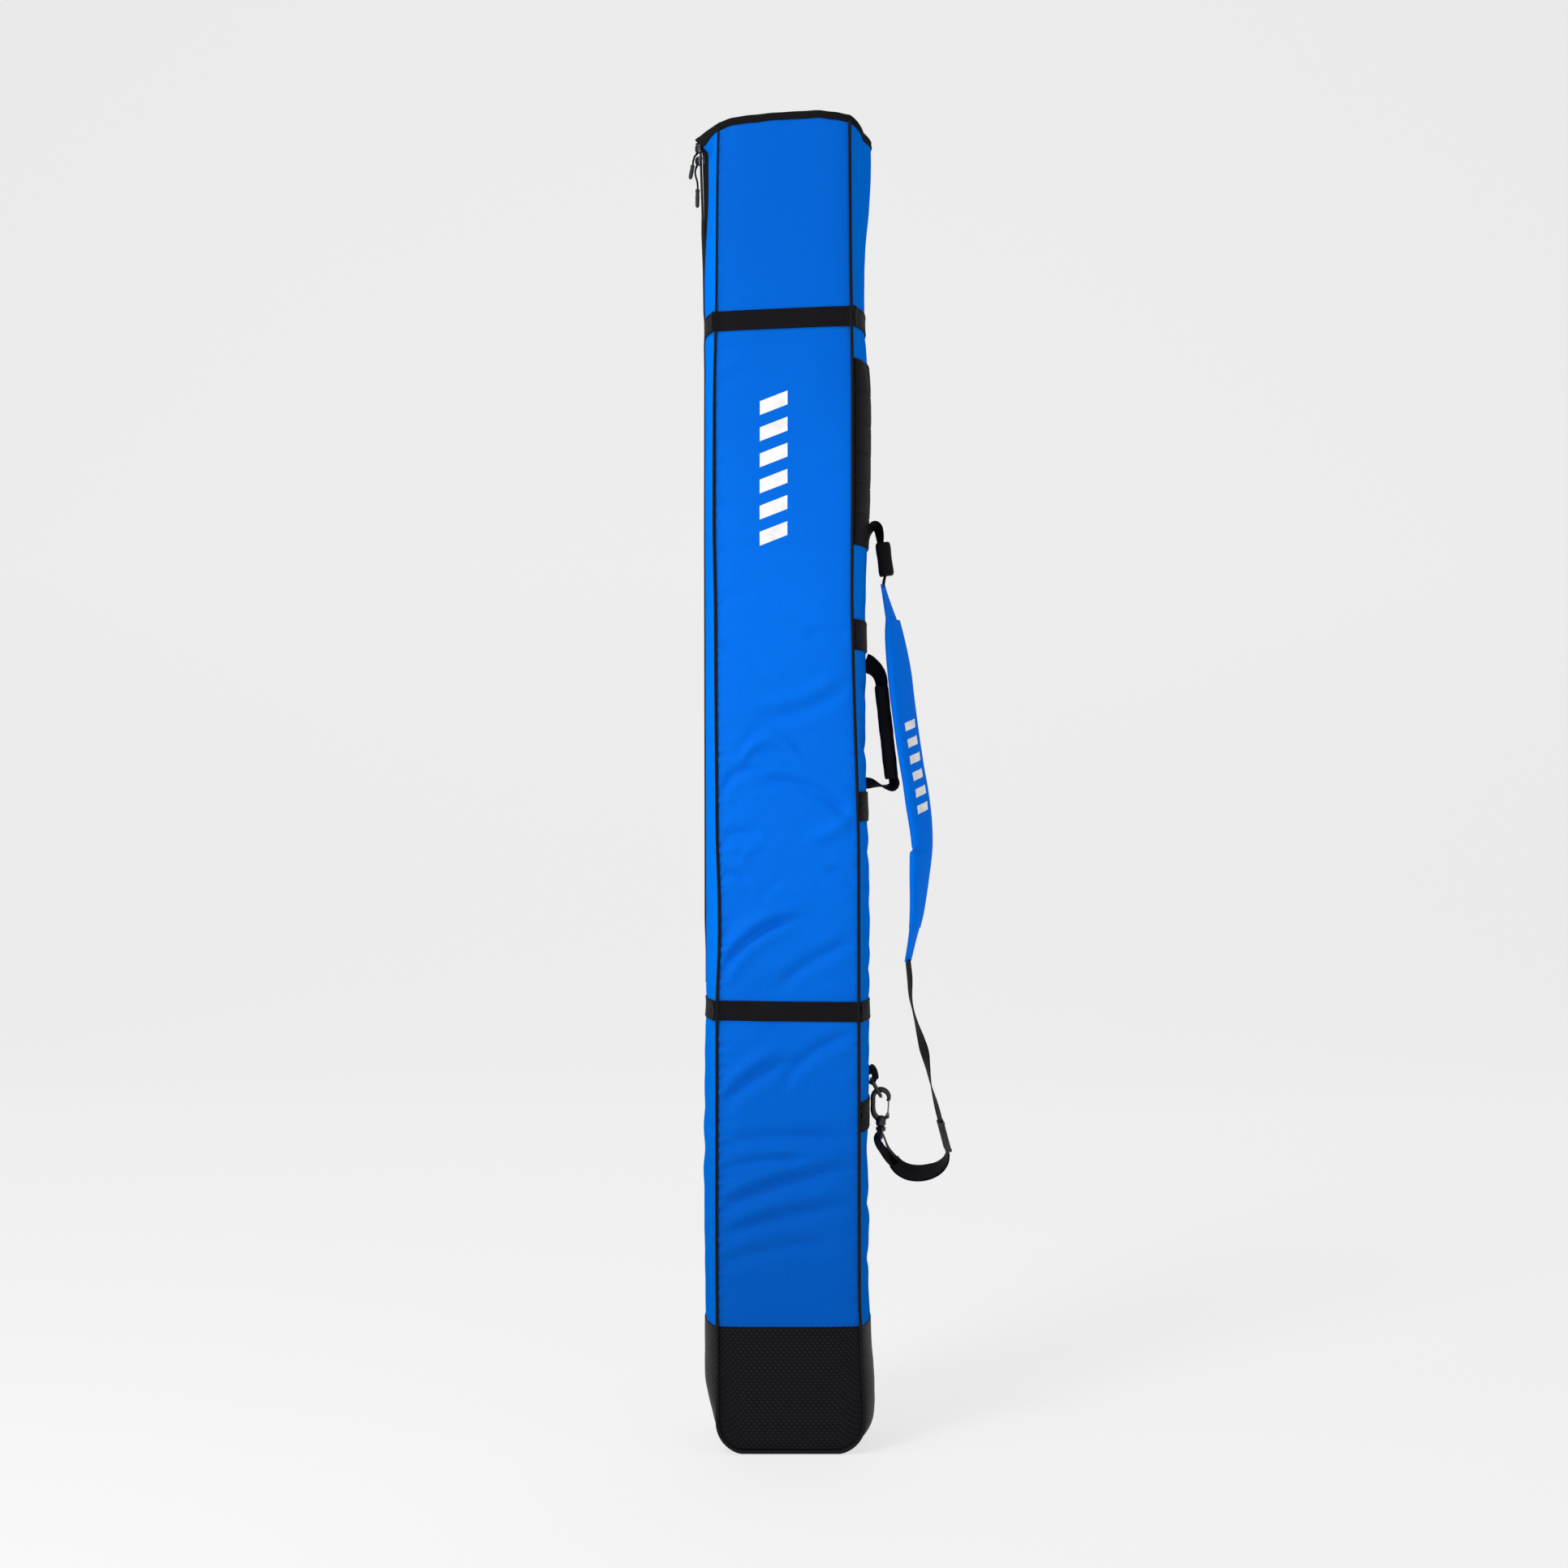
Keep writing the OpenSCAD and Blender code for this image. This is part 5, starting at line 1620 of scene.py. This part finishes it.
def make_ring_tab():
    """Webbing folded several times round the ring's straight bar and sewn to the gusset."""
    fold = [(107.2, 499, 0), (108.0, 492, 0), (110.6, 489.2, 0), (114.2, 486.6, 0), (116.4, 482.4, 0),
            (116.0, 477.4, 0), (112.6, 474.4, 0), (109.0, 475.6, 0), (107.2, 479.5, 0), (107.0, 488, 0)]
    p = spline(in_plane(fold), 70)
    parts = [sweep_parts(ribbon_rings(p[:, :3], p[:, 3], 20, 2.2))]
    lump = spline(in_plane([(109, 495.6), (112.4, 494.6), (115, 490.6), (116.4, 485), (116.6, 479.6)]), 40)
    thick = 9.0 * np.minimum(1, np.minimum(np.linspace(0, 1, 40), np.linspace(1, 0, 40)) * 5 + 0.4)
    _, side, _ = frames(lump)
    across, rise = squircle(circle(28), 0.4, 0.6)
    rings = []
    for centre, t, w in zip(lump, thick, side):
        rings.append(centre + np.outer(10.2 * across, (0, 1, 0)) + np.outer(t / 2 * rise, w))
    parts.append(sweep_parts(np.array(rings)))
    under = spline(in_plane([(108.6, 496.5), (109.4, 492), (110.8, 487.6)]), 20)
    parts.append(sweep_parts(ribbon_rings(under, 0.0, 19, 7.0)))
    joined("ring_tab_fold", parts, "webbing", body="bag", slot="webbing", nodes=["ring_tab"], sharp=60)


make_ring_tab()


def make_hook():
    """The hook's bent body and nose, its turning barrel and the knuckle that holds the gate."""
    centre, top, reach = 124.2, 455.2, 10.6
    path = [(centre + 6.5, 0, 428.6), (centre + 2, 0, 426.4), (centre - 4, 0, 427.8),
            (centre - 8.6, 0, 432.5), (centre - reach, 0, 439), (centre - reach, 0, 447)]
    for a in np.radians([180, 160, 140, 120, 100, 80, 60, 40, 20, 4]):
        path.append((centre + reach * math.cos(a), 0, top + reach * math.sin(a)))
    path += [(centre + reach - 0.2, 0, 452.8), (centre + reach - 0.6, 0, 450.6)]
    p = spline(path, 130)
    f = np.linspace(0, 1, 130)
    places, radii = [0, 0.06, 0.2, 0.4, 0.62, 0.74, 0.9, 1.0], [2.6, 4.0, 3.9, 3.2, 3.5, 3.9, 3.0, 2.2]
    radius = np.interp(f, places, radii)
    radius = radius * np.minimum(1, np.minimum(f, 1 - f) * 40 + 0.45)
    parts = [tube_parts(p, radius, 18, (0, 1, 0), 0.78)]
    nose = centre + reach
    lip = [(nose - 0.4, 0, 453), (nose - 2.2, 0, 451.6), (nose - 3.4, 0, 451.9)]
    parts.append(tube_parts(np.array(lip), [2.0, 1.5, 0.7], 12, (0, 1, 0), 0.9))
    barrel = [(417.3, 4.6), (417.9, 5.8), (420, 6.6), (424, 6.8), (427, 6.9), (429.6, 5.6), (431.4, 3.4)]
    rings = []
    for z, r in barrel:
        rings.append([(SWIVEL_X + r * math.cos(b), 0.82 * r * math.sin(b), z) for b in circle(32)])
    parts.append(sweep_parts(np.array(rings)))
    knuckle = np.array([(GATE_PIVOT[0] - 0.9, y, GATE_PIVOT[2] - 3.2) for y in (-2.9, -2.4, 2.4, 2.9)])
    parts.append(tube_parts(knuckle, [2.3, 2.9, 2.9, 2.3], 18, (0, 0, 1)))
    parts.append(tube_parts(knuckle + (0.9, 0, 3.2), [1.6, 2.1, 2.1, 1.6], 18, (0, 0, 1)))
    joined("hook_forging", parts, "hook", body="hook", slot="black_metal", nodes=["hook_body"], sharp=60)


def make_gate():
    """Bent wire: both legs rise from the pivot and meet in a bar under the hook's nose."""
    pivot, tip = np.array(GATE_PIVOT), np.array(GATE_TIP)
    half = 3.3
    rising, falling = [], []
    for leg, y in ((rising, -half), (falling, half)):
        leg.extend([pivot + (-1.4, y, -1.0), pivot + (0, y, 0.6)])
        leg.extend([(pivot + tip) / 2 + (0.3, y, 0), tip + (0, y, -1.6)])
    route = rising + [tip + (0, -half + 1.2, 0), tip, tip + (0, half - 1.2, 0)] + falling[::-1]
    wire = tube_parts(spline([tuple(q) for q in route], 110), 0.85, 10, (0.9, 0.1, 0.2))
    joined("hook_gate_wire", [wire], "wire", body="gate", slot="gate_wire", nodes=["hook_gate"], sharp=70)


make_hook()
make_gate()


def make_eye():
    """Flattened ring that holds the webbing, with the domed stud that turns in the hook."""
    low, high = 403.5, 413.8
    half = [(y, low) for y in np.linspace(-14.5, 14.5, 9)]
    half += [(16.4, 404.6), (17.0, 407), (16.2, 410.2), (12.5, 413)]
    half += [(y, high) for y in (8, 4, 0, -4, -8)]
    half += [(-12.5, 413), (-16.2, 410.2), (-17.0, 407), (-16.4, 404.6)]
    path = np.array([(SWIVEL_X, y, z) for y, z in half])
    parts = [ring_tube(path, 2.0, (0, 0, 1.0))]
    stud = [(409.6, 3.4), (410.4, 5.4), (412.6, 6.6), (415, 6.7), (416.4, 5.8), (417.0, 3.0), (424, 2.3)]
    rings = [[(SWIVEL_X + r * math.cos(b), r * math.sin(b), z) for b in circle(32)] for z, r in stud]
    parts.append(sweep_parts(np.array(rings)))
    joined("swivel_eye_loop", parts, "hook", body="strap", slot="black_metal",
           nodes=["swivel_eye"], sharp=60)


make_eye()

# ---------------------------------------------------------------- printed mark


def make_print():
    """A plain geometric mark in place of lettering: a column of slanted bars."""
    parts = []
    bars, first, pitch, half = 6, 1192.0, 34.0, 9.0
    t0, t1, rows, cols = -0.34, 0.06, 12, 22
    for i in range(bars):
        t = np.linspace(t0, t1, cols)[None, :] + np.zeros((rows, 1))
        z = first + pitch * i + np.linspace(-half, half, rows)[:, None] + 14 * (t - t0) / (t1 - t0)
        parts.append(slab_parts(front_wall(t, z, -0.22), front_wall(t, z, 0.1)))
    joined("front_print_bars", parts, "print", body="bag", slot="panel_cloth")


make_print()


def make_pad_print():
    """The same slanted bars, smaller, on the shoulder pad's outer face."""
    rings = pad_rings(PAD, PAD_RINGS, notch=True)
    heights = rings[:, 0, 2]
    parts = []
    first, pitch, half, slant, lift = 838.0, 22.0, 5.5, 7.0, 0.2
    for i in range(6):
        columns = []
        for k in range(PAD_PRINT_FIRST, PAD_PRINT_LAST + 1):
            f = (k - PAD_PRINT_FIRST) / (PAD_PRINT_LAST - PAD_PRINT_FIRST)
            z = first + pitch * i + slant * f + np.linspace(half, -half, 8)
            at = [np.interp(-z, -heights, rings[:, k, axis]) for axis in range(3)]
            inner = [np.interp(-z, -heights, rings[:, :, axis].mean(1)) for axis in range(3)]
            columns.append((np.stack(at, -1), np.stack(inner, -1)))
        face = np.stack([c[0] for c in columns], 1)
        out = unit(face - np.stack([c[1] for c in columns], 1))
        parts.append(slab_parts(face + lift * out, face - 0.1 * out))
    joined("pad_print_bars", parts, "print", body="strap", slot="pad_cloth")


make_pad_print()
